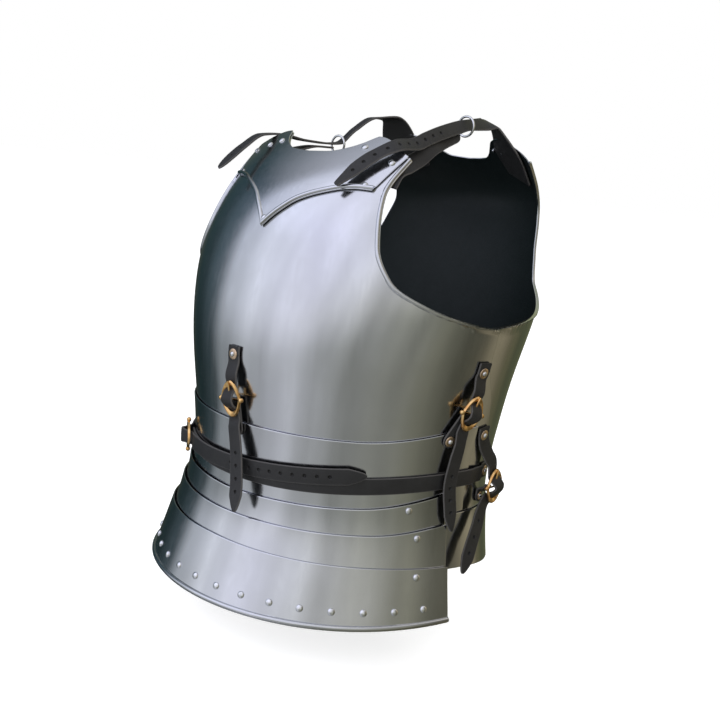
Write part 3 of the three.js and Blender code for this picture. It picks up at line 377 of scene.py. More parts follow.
def strap(places, thick, holes=(), tip="point"):
    # a leather strip through places (point, out, width): the places are joined by throughRows over their run,
    # and each cross-section is a flat band with rounded edges. Holes are distances back from the tip
    points = np.array([p[0] for p in places], float)
    run = np.concatenate([[0], np.cumsum(np.linalg.norm(np.diff(points, axis=0), axis=1))])
    table = np.column_stack([run, points, [p[1] for p in places], [p[2] for p in places]])
    length = run[-1]
    at = [np.linspace(0, length, max(int(length / strapCut["spacing"]), 30)),
          length - np.geomspace(0.00005, 0.02, 22), np.geomspace(0.00005, 0.01, 14)]
    at += [length - h + np.linspace(-0.0026, 0.0026, 17) for h in holes]
    at = np.unique(np.clip(np.concatenate(at), 0, length))
    at = at[np.concatenate([[True], np.diff(at) > 2e-5])]
    smooth = throughRows(table, at)
    middle, out, width = smooth[:, :3], unit(smooth[:, 3:6]), smooth[:, 6]
    ahead = unit(np.gradient(middle, axis=0))
    across = unit(np.cross(ahead, out))
    out = np.cross(across, ahead)
    for kind, gone in ((tip, length - at), ("square", at)):
        width = width * endShape(kind, np.clip(gone / (strapCut["reach"][kind] * width.max()), 0, 1))
    half = width[:, None] / 2
    nearEdges, nearHoles = gathered(25)[[*range(6), *range(-6, 0)]], np.linspace(-0.26, 0.26, 11)
    t = np.unique(np.concatenate([np.linspace(-1, 1, 13), nearEdges, nearHoles]))[None, :]
    x = half * t
    fromEdge = half - np.abs(x)
    r = np.minimum(strapCut["round"], half * 0.6)
    fall = r * (1 - np.sqrt(np.clip(1 - (1 - np.clip(fromEdge / r, 0, 1))**2, 0, 1)))
    top = thick - fall + strapCut["crown"] * (1 - t**2)
    top = top - strapCut["groove"] * np.exp(-((fromEdge - strapCut["grooveIn"]) / strapCut["grooveWide"])**2)
    under = fall * 0.8
    hole = np.zeros_like(x)
    for h in holes:
        away = np.hypot(at[:, None] - (length - h), x)
        hole = np.maximum(hole, np.clip((strapCut["holeRadius"] - away) / strapCut["holeSoft"] + 0.5, 0, 1))
    top = top - hole * strapCut["holeDeep"]
    place = lambda z: middle[:, None] + x[..., None] * across[:, None] + z[..., None] * out[:, None]
    upper, lower = place(top), place(under)
    nr, nc = x.shape
    ring = np.concatenate([upper, lower[:, ::-1]], 1)
    # a band along both edges of the strap, which the leather's material paints lighter as a painted highlight
    highlightBand = np.clip(1 - fromEdge / strapCut["cutEdge"], 0, 1)
    # the punched holes' mark on the upper face lets the material paint them darker, a painted shade in the holes
    marks = {"cutEdge": np.concatenate([highlightBand, highlightBand[:, ::-1]], 1).ravel(),
             "punched": np.concatenate([hole, 0 * hole], 1).ravel()}
    m, i = 2 * nc, np.arange(nc - 1)
    first = np.stack([i, i + 1, m - 2 - i, m - 1 - i], -1)
    faces = [gridFaces(nr, m, aroundColumns=True)[:, ::-1], first, first[:, ::-1] + (nr - 1) * m]
    return outward({"points": ring.reshape(-1, 3), "faces": faces, "marks": marks})


def onBody(angle, drop, lift, width):
    # a strap's place that faces straight out from the body
    return bodyPoint(angle, drop, lift), skinNormal(angle, drop), width


def socketed(name, inputs, outputs):
    group = bpy.data.node_groups.new(name, "ShaderNodeTree")
    for label, kind, value in inputs:
        socket = group.interface.new_socket(label, in_out="INPUT", socket_type=kind)
        if value is not None:
            socket.default_value = value
    for label, kind in outputs:
        group.interface.new_socket(label, in_out="OUTPUT", socket_type=kind)
    return group, group.nodes.new("NodeGroupInput"), group.nodes.new("NodeGroupOutput")


def wire(tree, kind, **settings):
    # a node with its inputs given by name or number: a value, or a socket to link from
    node = tree.nodes.new(kind)
    inputs = settings.pop("inputs", {})
    for k, v in settings.items():
        setattr(node, k, v)
    for k, v in inputs.items():
        socket = node.inputs[k]
        if isinstance(v, bpy.types.NodeSocket):
            tree.links.new(v, socket)
        else:
            socket.default_value = v
    return node


def maths(tree, operation, a, b=0.0, c=0.0):
    return wire(tree, "ShaderNodeMath", operation=operation, inputs={0: a, 1: b, 2: c}).outputs[0]


def blendColours(tree, share, a, b, kind="MIX"):
    node = wire(tree, "ShaderNodeMix", data_type="RGBA", blend_type=kind)
    for k, v in ((0, share), (6, a), (7, b)):
        if isinstance(v, bpy.types.NodeSocket):
            tree.links.new(v, node.inputs[k])
        else:
            node.inputs[k].default_value = v
    return node.outputs[2]


def noise(tree, vector, scale, detail=3.0, rough=0.55):
    return wire(tree, "ShaderNodeTexNoise",
                inputs={"Vector": vector, "Scale": scale, "Detail": detail, "Roughness": rough}).outputs["Fac"]


def makePolishMarks():
    # fine brushed streaks that run down the metal, cloudy handling marks, and slow waves
    group, start, end = socketed("polishMarks",
                                 [("Vector", "NodeSocketVector", None), ("Streak Scale", "NodeSocketFloat", 180.0),
                                  ("Cloud Scale", "NodeSocketFloat", 14.0)],
                                 [("Streaks", "NodeSocketFloat"), ("Clouds", "NodeSocketFloat"),
                                  ("Height", "NodeSocketFloat")])
    stretched = wire(group, "ShaderNodeMapping",
                     inputs={"Vector": start.outputs["Vector"], "Scale": (1, 1, 0.045)}).outputs[0]
    streaks = noise(group, stretched, start.outputs["Streak Scale"], 5.0, 0.6)
    clouds = noise(group, start.outputs["Vector"], start.outputs["Cloud Scale"], 4.0, 0.5)
    waves = noise(group, start.outputs["Vector"], 9.0, 1.0, 0.3)
    height = maths(group, "MULTIPLY_ADD", streaks, 0.02, waves)
    for label, socket in (("Streaks", streaks), ("Clouds", clouds), ("Height", height)):
        group.links.new(socket, end.inputs[label])
    return group


def makeHideGrain():
    # pebbled grain: cells with creases between them, over a slower unevenness
    group, start, end = socketed("hideGrain",
                                 [("Vector", "NodeSocketVector", None), ("Grain Scale", "NodeSocketFloat", 900.0)],
                                 [("Grain", "NodeSocketFloat"), ("Patches", "NodeSocketFloat"),
                                  ("Height", "NodeSocketFloat")])
    bent = wire(group, "ShaderNodeTexNoise",
                inputs={"Vector": start.outputs["Vector"], "Scale": 300.0, "Detail": 2.0}).outputs["Color"]
    warped = wire(group, "ShaderNodeMix", data_type="VECTOR",
                  inputs={0: 0.004, 4: start.outputs["Vector"], 5: bent}).outputs[1]
    cells = wire(group, "ShaderNodeTexVoronoi", feature="DISTANCE_TO_EDGE",
                 inputs={"Vector": warped, "Scale": start.outputs["Grain Scale"]}).outputs["Distance"]
    grain = wire(group, "ShaderNodeMapRange", inputs={"Value": cells, "From Min": 0.0, "From Max": 0.25}).outputs[0]
    patches = noise(group, start.outputs["Vector"], 60.0, 3.0)
    height = maths(group, "ADD", maths(group, "MULTIPLY", grain, 0.6), maths(group, "MULTIPLY", patches, 0.8))
    for label, socket in (("Grain", grain), ("Patches", patches), ("Height", height)):
        group.links.new(socket, end.inputs[label])
    return group


polishMarks, hideGrain = makePolishMarks(), makeHideGrain()


def startMaterial(name):
    # its tree, its shader and the Object coordinates that its patterns follow
    material = bpy.data.materials.new(name)
    material.use_nodes = True
    tree = material.node_tree
    shader = tree.nodes["Principled BSDF"]
    where = tree.nodes.new("ShaderNodeTexCoord").outputs["Object"]
    return material, tree, shader, where


def metalFinish(name, look):
    material, tree, shader, where = startMaterial(name)
    marks = wire(tree, "ShaderNodeGroup", node_tree=polishMarks,
                 inputs={"Vector": where, "Streak Scale": look["streakScale"], "Cloud Scale": look["cloudScale"]})
    cloudy = wire(tree, "ShaderNodeMapRange",
                  inputs={"Value": marks.outputs["Clouds"], "From Min": 0.35, "From Max": 0.7}).outputs[0]
    tone = blendColours(tree, cloudy, (*look["colour"], 1), (*look["tarnish"], 1))
    streaky = wire(tree, "ShaderNodeMapRange",
                   inputs={"Value": marks.outputs["Streaks"], "From Min": 0.3, "From Max": 0.7,
                           "To Min": look["rough"][0], "To Max": look["rough"][1]}).outputs[0]
    bump = wire(tree, "ShaderNodeBump",
                inputs={"Strength": look["bump"], "Distance": look["distance"], "Height": marks.outputs["Height"]})
    tree.links.new(tone, shader.inputs["Base Color"])
    tree.links.new(streaky, shader.inputs["Roughness"])
    tree.links.new(bump.outputs[0], shader.inputs["Normal"])
    shader.inputs["Metallic"].default_value = 1.0
    return material


def hideFinish(name, look):
    material, tree, shader, where = startMaterial(name)
    marks = wire(tree, "ShaderNodeGroup", node_tree=hideGrain,
                 inputs={"Vector": where, "Grain Scale": look["grainScale"]})
    tone = blendColours(tree, marks.outputs["Patches"], (*look["dark"], 1), (*look["light"], 1))
    # the band along the strap's edges is painted lighter here: a painted highlight, not a colour of the leather
    highlightBand = wire(tree, "ShaderNodeAttribute", attribute_name="cutEdge").outputs["Fac"]
    punched = wire(tree, "ShaderNodeAttribute", attribute_name="punched").outputs["Fac"]
    tone = blendColours(tree, maths(tree, "MULTIPLY", highlightBand, look["edgeHighlightShare"]), tone, (*look["edge"], 1))
    # the punched holes are painted darker than the leather: painted shade in the holes
    tone = blendColours(tree, punched, tone, (*look["hole"], 1))
    roughness = wire(tree, "ShaderNodeMapRange",
                     inputs={"Value": marks.outputs["Grain"], "To Min": look["rough"][1],
                             "To Max": look["rough"][0]}).outputs[0]
    bump = wire(tree, "ShaderNodeBump",
                inputs={"Strength": look["bump"], "Distance": look["distance"], "Height": marks.outputs["Height"]})
    tree.links.new(tone, shader.inputs["Base Color"])
    tree.links.new(roughness, shader.inputs["Roughness"])
    tree.links.new(bump.outputs[0], shader.inputs["Normal"])
    shader.inputs["Specular IOR Level"].default_value = look["gloss"]
    return material


steelLook = {"colour": (0.62, 0.63, 0.66), "tarnish": (0.55, 0.56, 0.57), "rough": (0.13, 0.23),
             "streakScale": 260.0, "cloudScale": 12.0, "bump": 0.5, "distance": 0.0011}
rivetLook = {"colour": (0.80, 0.81, 0.84), "tarnish": (0.60, 0.61, 0.62), "rough": (0.10, 0.22),
             "streakScale": 400.0, "cloudScale": 300.0, "bump": 0.1, "distance": 0.0002}
washerLook = {"colour": (0.80, 0.60, 0.42), "tarnish": (0.52, 0.38, 0.26), "rough": (0.22, 0.38),
              "streakScale": 500.0, "cloudScale": 380.0, "bump": 0.15, "distance": 0.0002}
brassLook = {"colour": (0.90, 0.62, 0.28), "tarnish": (0.70, 0.36, 0.12), "rough": (0.14, 0.28),
             "streakScale": 500.0, "cloudScale": 160.0, "bump": 0.12, "distance": 0.0003}
# edge is a painted highlight colour for the strap's edges, mixed in at the share that follows it
leatherLook = {"dark": (0.0060, 0.0060, 0.0066), "light": (0.0140, 0.0138, 0.0142), "edge": (0.085, 0.080, 0.076),
               # hole is a painted shade colour for the punched holes, darker than the leather
               "edgeHighlightShare": 0.7, "hole": (0.004, 0.004, 0.004), "rough": (0.42, 0.62), "grainScale": 900.0,
               "bump": 0.35, "distance": 0.0003, "gloss": 0.5}
paintLook = {"dark": (0.0015, 0.0045, 0.0045), "light": (0.005, 0.0085, 0.009), "edge": (0.01, 0.01, 0.01),
             "edgeHighlightShare": 0.0, "hole": (0.01, 0.01, 0.01), "rough": (0.45, 0.60), "grainScale": 500.0,
             "bump": 0.10, "distance": 0.0003, "gloss": 0.25}
polishedSteel = metalFinish("polishedSteel", steelLook)
rivetSteel = metalFinish("rivetSteel", rivetLook)
washerBrass = metalFinish("washerBrass", washerLook)
castBrass = metalFinish("castBrass", brassLook)
blackLeather = hideFinish("blackLeather", leatherLook)
blackPaint = hideFinish("blackPaint", paintLook)
plateFinish = [polishedSteel, blackPaint, rivetSteel]
print("materials made")

lifts = {"backplate": -0.0045, "skirt": -0.0016, "breastplate": -0.0016, "neckPlate": 0.0009, "plackart": 0.0009,
         "lame1": 0.0042, "lame2": 0.0075, "lame3": 0.0108}
thick = plateSteel["thick"]
neckline = [(0, 0.134), (9, 0.131), (15, 0.122), (19.5, 0.110), (22.6, 0.097), (23.3, 0.095), (43, 0.131)]
lameTops = [[(0, 0.789), (49, 0.781), (81, 0.753)], [(0, 0.833), (52, 0.831), (81, 0.814)],
            [(0, 0.884), (52, 0.890), (81, 0.899)]]
lameOverlap = 0.042


# an edge line is rows of (angle from the middle, drop), and a side line rows of (drop, half of the plate's angle)
def lower(rows, by):
    return [(a, d + by) for a, d in rows]


def level(rows, until):
    return [(0, rows), (until, rows)]


breastplate = {
    "side": [(0.131, 43), (0.200, 39), (0.289, 40), (0.348, 45), (0.388, 58), (0.416, 75), (0.426, 84),
             (0.489, 84.5), (0.570, 90), (0.620, 93), (0.660, 94), (0.700, 94), (0.740, 94)],
    "top": neckline, "bottom": level(0.740, 94), "lift": lifts["breastplate"],
    "beads": [{"edges": [1, 3], "radius": 0.0021, "until": 0.4265}],
}
neckPlate = {
    "side": [(0.135, 41), (0.196, 34)], "top": neckline,
    "bottom": [(0, 0.280), (2.5, 0.262), (5, 0.247), (10, 0.224), (17, 0.207), (25, 0.195), (30, 0.1925),
               (34, 0.193)],
    "lift": lifts["neckPlate"], "beads": [{"edges": [2], "radius": 0.0023}],
    "rivets": [(0, 0.266), (31, 0.187), (-31, 0.187), (22, 0.118), (-22, 0.118), (28.5, 0.128), (-28.5, 0.128),
               (36.5, 0.142), (-36.5, 0.142)],
}
plackart = {"side": [(0.622, 86), (0.795, 86)], "top": [(0, 0.654), (45, 0.651), (86, 0.622)],
            "bottom": lower(lameTops[0], lameOverlap), "lift": lifts["plackart"]}
lames = [
    {"side": [(0.753, 77.5), (0.856, 77.5)], "top": lameTops[0], "bottom": lower(lameTops[1], lameOverlap),
     "lift": lifts["lame1"]},
    {"side": [(0.814, 77.5), (0.941, 77.5)], "top": lameTops[1], "bottom": lower(lameTops[2], lameOverlap),
     "lift": lifts["lame2"]},
    {"side": [(0.899, 77.5), (1.0, 77.5)], "top": lameTops[2], "bottom": level(1.0, 81), "lift": lifts["lame3"],
     "beads": [{"edges": [2], "radius": 0.0026}], "rivets": [(8.7 * k, 0.968) for k in range(-8, 9)]},
]
backplate = {
    "middle": 180,
    "side": [(0.105, 52), (0.140, 46), (0.180, 40), (0.224, 38), (0.274, 38), (0.320, 39.5), (0.352, 42),
             (0.380, 51), (0.403, 64), (0.420, 88), (0.428, 104), (0.500, 103), (0.570, 102), (0.620, 99),
             (0.660, 98), (0.820, 98)],
    "top": [(0, 0.099), (9, 0.096), (13, 0.086), (15.5, 0.076), (20, 0.061), (26, 0.056), (35, 0.071), (52, 0.105)],
    "bottom": level(0.820, 98), "lift": lifts["backplate"],
    "beads": [{"edges": [1, 3], "radius": 0.0021, "until": 0.424}],
}
backSkirt = {"middle": 180, "side": [(0.803, 104), (0.905, 104)], "top": level(0.803, 104),
             "bottom": [(0, 0.950), (104, 0.905)], "lift": lifts["skirt"]}
rivetHead = {"radius": 0.0037, "height": 0.0022}
crease = 40  # degrees between faces past which an edge is sharp


def steelPiece(name, node, parts, bodyName="torso"):
    settle(newPiece(name, parts, plateFinish, crease), node, bodyName)


steelPiece("breastplateShell", "breastplate", [plate(breastplate)])
neckHeads = domes(neckPlate["rivets"], lifts["neckPlate"] + thick, **rivetHead, material=2)
steelPiece("neckPlateShell", "neck_plate", [plate(neckPlate), *neckHeads])
steelPiece("plackartShell", "plackart", [plate(plackart)])
for i, lame in enumerate(lames, 1):
    heads = domes(lame.get("rivets", []), lame["lift"] + thick, **rivetHead, material=2)
    steelPiece(f"lameShell{i}", f"fauld_lame_{i}", [plate(lame), *heads], f"lame_{i}")
steelPiece("backplateShell", "backplate", [plate(backplate)])
steelPiece("backSkirtShell", "back_skirt", [plate(backSkirt)])
print("plates made")

pivots = {
    "angles": (64, 67, 67), "inset": 0.007, "bodies": ("torso", "lame_1", "lame_2"),
    "under": (lifts["plackart"], lifts["lame1"], lifts["lame2"]),
    "between": 0.0017, "shank": 0.0018, "tail": 0.0032, "tailThick": 0.0008, "headSeat": 0.0003,
    "shankTop": -0.0004, "shankPast": 0.0006, "tailSink": 0.0004,
}


def peg(radius, top, bottom):
    # profile of a plain round peg
    return [(0, top), (radius, top), (radius, bottom), (0, bottom)]


for i in range(3):
    for sign, sideName in ((1, "left"), (-1, "right")):
        angle = sign * pivots["angles"][i]
        drop = float(np.interp(pivots["angles"][i], *zip(*lameTops[i]))) + pivots["inset"] / body["height"]
        low = pivots["under"][i]
        high = low + 2 * thick + pivots["between"]
        axes = basis(skinNormal(angle, drop))
        top = bodyPoint(angle, drop, high + pivots["headSeat"])
        parts = [turned(domeProfile(**rivetHead, below=0.0002), top, axes),
                 turned(peg(pivots["shank"], pivots["shankTop"], low - high - pivots["shankPast"]), top, axes),
                 turned(peg(pivots["tail"], 0.0, -pivots["tailThick"]),
                        bodyPoint(angle, drop, low - pivots["tailSink"]), axes)]
        piece = newPiece(f"pivotRivet{i + 1}{sideName}", parts, [rivetSteel], crease)
        settle(piece, f"lame_pivot_{i + 1}_{sideName}", pivots["bodies"][i])

washers = {
    "radius": 0.0057, "sideTab": 0.0046, "shoulder": 0.0040, "shank": 0.0017, "head": (0.0027, 0.0022, 0.0001),
    "dish": [(0, 0.0009), (0.45, 0.0009), (0.8, 0.00085), (0.95, 0.0006), (1, 0.0002), (1, 0.0), (0, 0.0)],
    "headLift": 0.0008, "below": -0.0008,  # the shank's end in the breastplate
}


def washerRivet(name, node, angle, drop, low, high, washer=washers["radius"]):
    # a dome on a dished washer, with its shank down through the leather and the plate
    axes = basis(skinNormal(angle, drop))
    top = bodyPoint(angle, drop, high)
    dish = [(r * washer, z) for r, z in washers["dish"]]
    head = domeProfile(*washers["head"])
    parts = [turned(dish, top, axes, material=1), turned(head, top + axes[2] * washers["headLift"], axes),
             turned(peg(washers["shank"], 0.0002, -(high - low)), top, axes)]
    settle(newPiece(name, parts, [rivetSteel, washerBrass], crease), node)


buckle = {
    "long": 0.038, "wide": 0.028, "thick": 0.0024, "sideWide": 0.0036, "endWide": 0.0060, "around": 96,
    "bar": 0.00105, "knob": 0.0026, "knobLong": 1.1, "knobOut": 0.0006,
    # the frame's section: share of the way in from its outer edge, and height as a share of its own
    "section": [(0.0, 0.12), (0.0, 0.45), (0.22, 0.98), (0.50, 1.0), (0.95, 0.50), (1.0, 0.12), (0.85, 0.0),
                (0.15, 0.0)],
    "sectionHigh": 1.15,
    # the tongue's radii, at shares of half the buckle's length from the bar
    "tongue": [0.0013, 0.0012, 0.0011, 0.0007], "tongueAt": (0, 0.5, 0.86, 0.985),
}


def brassBuckle(place, axes, scale=1.0):
    # frame: outer edge |x/a|^2.1 + |y/b|^1.2 = 1 with a point at each end, inner edge |x/a|^2 + |y/b|^1.4 = 1
    count, high = buckle["around"], buckle["thick"]
    t = np.linspace(0, 2 * math.pi, count, endpoint=False)
    c, s = np.cos(t), np.sin(t)
    power = lambda v, p: np.sign(v) * np.abs(v)**p
    a, b = buckle["wide"] / 2 * scale, buckle["long"] / 2 * scale
    outer = np.stack([a * power(c, 2 / 2.1), b * power(s, 2 / 1.2)], -1)
    inner = np.stack([(a - buckle["sideWide"]) * c, (b - buckle["endWide"]) * power(s, 2 / 1.4)], -1)
    ring = np.stack([np.column_stack([outer * (1 - w) + inner * w,
                                      np.full(count, z * high * buckle["sectionHigh"])])
                     for w, z in buckle["section"]], 1)
    faces = gridFaces(count, len(buckle["section"]), aroundRows=True, aroundColumns=True)
    parts = [outward({"points": place + ring.reshape(-1, 3) @ axes, "faces": [faces]})]
    middle = high / 2
    barPath = np.array([[x, 0, middle] for x in np.linspace(-a, a, 5)])
    parts.append(outward(tube(place + barPath @ axes, buckle["bar"], axes[2])))
    k, t = buckle["knob"], np.linspace(0, math.pi, 11)[1:-1]
    tall = k * buckle["knobLong"]
    ball = [(0, tall), *zip(k * np.sin(t), tall * np.cos(t)), (0, -tall)]
    for sign in (-1, 1):
        knobPlace = place + np.array([sign * (a + buckle["knobOut"]), 0, middle]) @ axes
        parts.append(outward(turned(ball, knobPlace, axes[[1, 2, 0]], 16)))
    # the tongue lies on the bar and rests on the frame's end
    tongueLifts = (middle, middle + 0.0011, high + 0.0010, high + 0.0013)
    reach = np.array([[0, b * share, lift] for share, lift in zip(buckle["tongueAt"], tongueLifts)])
    parts.append(outward(tube(place + reach @ axes, buckle["tongue"], axes[2], 10)))
    return parts


leather = {"thick": 0.0022, "seat": 0.0008, "layer": 0.0005, "strap": 0.016, "belt": 0.017}
outerSeat = lifts["plackart"] + thick + leather["seat"]
backSeat = lifts["backplate"] + thick + leather["seat"]
overBelt = outerSeat + leather["thick"] + leather["seat"]
half = buckle["long"] / 2 / body["height"]
buckleRun = {
    "clear": 0.22, "below": 0.62, "past": 1.15,  # shares of half a buckle's length, from its bar
    "inFrame": 0.85, "besideBar": 0.9,  # shares of the strap's width
    "bulge": 0.0022, "besideBulge": 0.6,  # how far the leather swells over the bar, and its share beside it
}
hangStand = 0.014


def buckleLifts(seat):
    under = seat + leather["thick"] + leather["layer"]
    frameLift = under + leather["thick"] + leather["layer"]
    return {"tab": seat, "under": under, "frame": frameLift,
            "strap": frameLift + buckle["thick"] + leather["layer"]}


def throughBuckle(at, step, overBar=0.001, sink=0.0):
    # five places: under the frame, beside the bar, over it, beside it and under the frame again.
    # at(k, lift, share) gives the place that lies k half buckles past the bar
    clear, below = buckleRun["clear"], buckleRun["below"]
    under, beside = step["under"] - sink, step["strap"] + buckleRun["bulge"] * buckleRun["besideBulge"]
    return [at(-below, under, buckleRun["inFrame"]), at(-clear, beside, buckleRun["besideBar"]),
            at(0, step["strap"] + overBar + buckleRun["bulge"], 1),
            at(clear, beside, buckleRun["besideBar"]), at(below, under, buckleRun["inFrame"])]


def leatherPiece(name, node, places, holes=(), tip="point"):
    settle(newPiece(name, [strap(places, leather["thick"], holes, tip)], [blackLeather]), node)


def bucklePiece(name, node, angle, drop, lift, facing, ahead, scale=1.0):
    parts = brassBuckle(bodyPoint(angle, drop, lift), basis(skinNormal(facing, drop), ahead), scale)
    settle(newPiece(name, parts, [castBrass], 35), node)


plackartStraps = {
    # line: drop and angle of the strap's middle; loose: drop and stand-off of the hanging end, a share of hangStand
    "middle": {"side": 1, "top": 0.507, "rivet": 0.523, "buckle": 0.605, "tab": (3.4, 0.667),
               "line": [(0.523, 0.8), (0.605, 2.6), (0.642, 3.2), (0.683, 5.0), (0.760, 8.2), (0.822, 10.2)],
               "loose": [(0.660, 0.20, 1), (0.690, 0.36, 1), (0.760, 0.80, 1), (0.796, 1.05, 1), (0.822, 1.20, 1)]},
    "left": {"side": 1, "top": 0.489, "rivet": 0.509, "buckle": 0.585, "tab": (74.6, 0.643),
             "line": [(0.509, 81.8), (0.585, 79.4), (0.622, 78.2), (0.660, 77.7), (0.730, 76.9), (0.800, 78.2),
                      (0.828, 78.7)],
             "loose": [(0.643, 0.10, 0.9), (0.680, 0.15, 1), (0.730, 0.20, 1), (0.790, 0.30, 1), (0.828, 0.36, 1)]},
}
plackartStraps["right"] = {**plackartStraps["left"], "side": -1}
plackartHoles = (0.020, 0.033, 0.046, 0.059)
flatPastRivet, tabPast = 0.011, 0.2  # flat leather past the rivet, and the tab past its own as a share of its run

for name, s in plackartStraps.items():
    step = buckleLifts(outerSeat)
    angleAt = lambda d: s["side"] * float(throughRows(s["line"], max(d, s["rivet"])))
    on = lambda d, lift, share: onBody(angleAt(d), d, lift, leather["strap"] * share)
    b, r = s["buckle"], s["rivet"]
    past = half * buckleRun["past"]
    places = [*[on(d, leather["seat"], 1) for d in (s["top"], r, r + flatPastRivet)],
              on(b - past, step["under"], 1),
              *throughBuckle(lambda k, lift, share: on(b + half * k, lift, share), step),
              on(b + past, step["under"], 1),
              *[on(d, step["under"] + hangStand * rise, wide) for d, rise, wide in s["loose"]]]
    leatherPiece(f"plackartStrap.{name}", f"plackart_strap_{name}", places, plackartHoles)
    tabAngle, tabDrop = s["side"] * s["tab"][0], s["tab"][1]
    middle = angleAt(b)
    tabEnd = (tabAngle + (tabAngle - middle) * tabPast, tabDrop + (tabDrop - b) * tabPast)
    tabPlaces = [on(b, outerSeat, buckleRun["inFrame"]), onBody(tabAngle, tabDrop, outerSeat, leather["strap"]),
                 onBody(*tabEnd, outerSeat, leather["strap"])]
    leatherPiece(f"plackartTab.{name}", f"plackart_tab_{name}", tabPlaces, tip="round")
    ahead = bodyPoint(angleAt(b - half), b - half, 0.0) - bodyPoint(angleAt(b + half), b + half, 0.0)
    bucklePiece(f"plackartBuckle.{name}", f"plackart_buckle_{name}", middle, b, step["frame"], middle, ahead)
    washerRivet(f"strapRivet.{name}", f"plackart_strap_rivet_{name}", angleAt(r), r, washers["below"],
                leather["seat"] + leather["thick"])
    washerRivet(f"tabRivet.{name}", f"plackart_tab_rivet_{name}", tabAngle, tabDrop, lifts["plackart"],
                outerSeat + leather["thick"])

sideStraps = {
    "rivet": (90, 0.6415), "top": (89.6, 0.6255), "buckle": (100.5, 0.753), "facing": 93, "stand": 0.002,
    "tabRivet": (99.5, 0.779), "holes": (0.022, 0.040, 0.058),
    # angle and drop of the places between rivet and buckle, with the lift over the breastplate
    "rise": [(92, 0.662, leather["seat"] + 0.0008), (96, 0.687, overBelt - 0.0014)],
    "approach": (1.6, 1.3, 0.0026, 3),  # degrees and half buckles before the bar, sink, and extra turn of the face
    "shifts": (0.8, 0.2, 0, 0, 0.6), "sink": 0.0008,  # degrees ahead of the bar's angle at throughBuckle's places
    # angle, drop, lift as a share of hangStand, and the angle that the leather's face turns to
    "end": [(98.2, 0.783, 0.55, 94), (94.5, 0.804, 0.55, 86), (90.8, 0.832, 0.65, 78), (87.6, 0.860, 0.78, 74),
            (85.2, 0.888, 0.85, 72), (83.0, 0.916, 0.85, 72)],
    "tabSinks": (0.0014, 0.0034), "tabWidths": (0.8, 0.85, 0.9),
    "tabRun": ((0.3, -0.0105), (0, 0), (-0.6, 0.012)), "tabSeat": backSeat + 0.0001, "tabRivetLift": 0.0002,
}
shiftPlaces = [-buckleRun["below"], -buckleRun["clear"], 0, buckleRun["clear"], buckleRun["below"]]
for sign, sideName in ((1, "left"), (-1, "right")):
    step = buckleLifts(overBelt + sideStraps["stand"])
    (ba, bd), (ra, rd), (ta, td) = sideStraps["buckle"], sideStraps["rivet"], sideStraps["tabRivet"]
    facing = sideStraps["facing"]
    on = lambda a, d, lift, share=1, face=None: (bodyPoint(sign * a, d, lift), skinNormal(sign * (face or a), d),
                                                 leather["strap"] * share)
    inBuckle = lambda k, lift, share: on(ba - float(np.interp(k, shiftPlaces, sideStraps["shifts"])), bd + half * k,
                                         lift, share, facing)
    before, early, sink, turn = sideStraps["approach"]
    places = [on(*sideStraps["top"], leather["seat"]), on(ra, rd, leather["seat"]),
              *[on(a, d, lift) for a, d, lift in sideStraps["rise"]],
              on(ba - before, bd - half * early, step["under"] - sink, 1, facing + turn),
              *throughBuckle(inBuckle, step, sink=sideStraps["sink"]),
              *[on(a, d, lift * hangStand, 1, face) for a, d, lift, face in sideStraps["end"]]]
    leatherPiece(f"sideStrap.{sideName}", f"side_strap_{sideName}", places, sideStraps["holes"])
    firstSink, nextSink = sideStraps["tabSinks"]
    firstWide, nextWide, lastWide = sideStraps["tabWidths"]
    tabPlaces = [on(ba, bd, step["tab"] - firstSink, firstWide, facing),
                 on(ba - 0.2, bd + half * 0.2, step["tab"] - nextSink, nextWide, facing + turn),
                 *[on(ta + a, td + d, sideStraps["tabSeat"], lastWide) for a, d in sideStraps["tabRun"]]]
    leatherPiece(f"sideTab.{sideName}", f"side_tab_{sideName}", tabPlaces, tip="round")
    ahead = bodyPoint(sign * ba, bd - half, 0.0) - bodyPoint(sign * ba, bd + half, 0.0)
    bucklePiece(f"sideBuckle.{sideName}", f"side_buckle_{sideName}", sign * ba, bd, step["frame"], sign * facing,
                ahead)
    washerRivet(f"sideRivet.{sideName}", f"side_strap_rivet_{sideName}", sign * ra, rd, washers["below"],
                leather["seat"] + leather["thick"])
    washerRivet(f"sideTabRivet.{sideName}", f"side_tab_rivet_{sideName}", sign * ta, td, lifts["backplate"],
                backSeat + leather["thick"] + sideStraps["tabRivetLift"], washers["sideTab"])

belt = {
    "drop": 0.726, "dip": 0.02, "buckle": -34, "half": 6.6, "scale": 1.15, "rivet": 101,
    "holes": [0.036 + 0.0125 * k for k in range(10)],
    "ends": [103.5, 98.5, 94.5, 91.5, 87.5], "frontEnd": 83,  # angles of the places from the rivet to the plackart
    "onBack": 97, "onBreast": 91, "backLift": 0.0002, "breastLift": 0.0006,
    "overBar": 0.002, "pastRise": 0.001, "overlapEnd": 45, "overlapRise": 0.022, "tip": (49, 0.024),
}
onBackLift = backSeat + belt["backLift"]
overLayer = outerSeat + leather["thick"] + leather["layer"]
beltDrop = lambda a: belt["drop"] + belt["dip"] * math.cos(math.radians(a))**2


def beltGround(a):
    # the lift of what the belt lies on: plackart, breastplate, then backplate
    if abs(a) > belt["onBack"]:
        return onBackLift
    return leather["seat"] + belt["breastLift"] if abs(a) > belt["onBreast"] else outerSeat


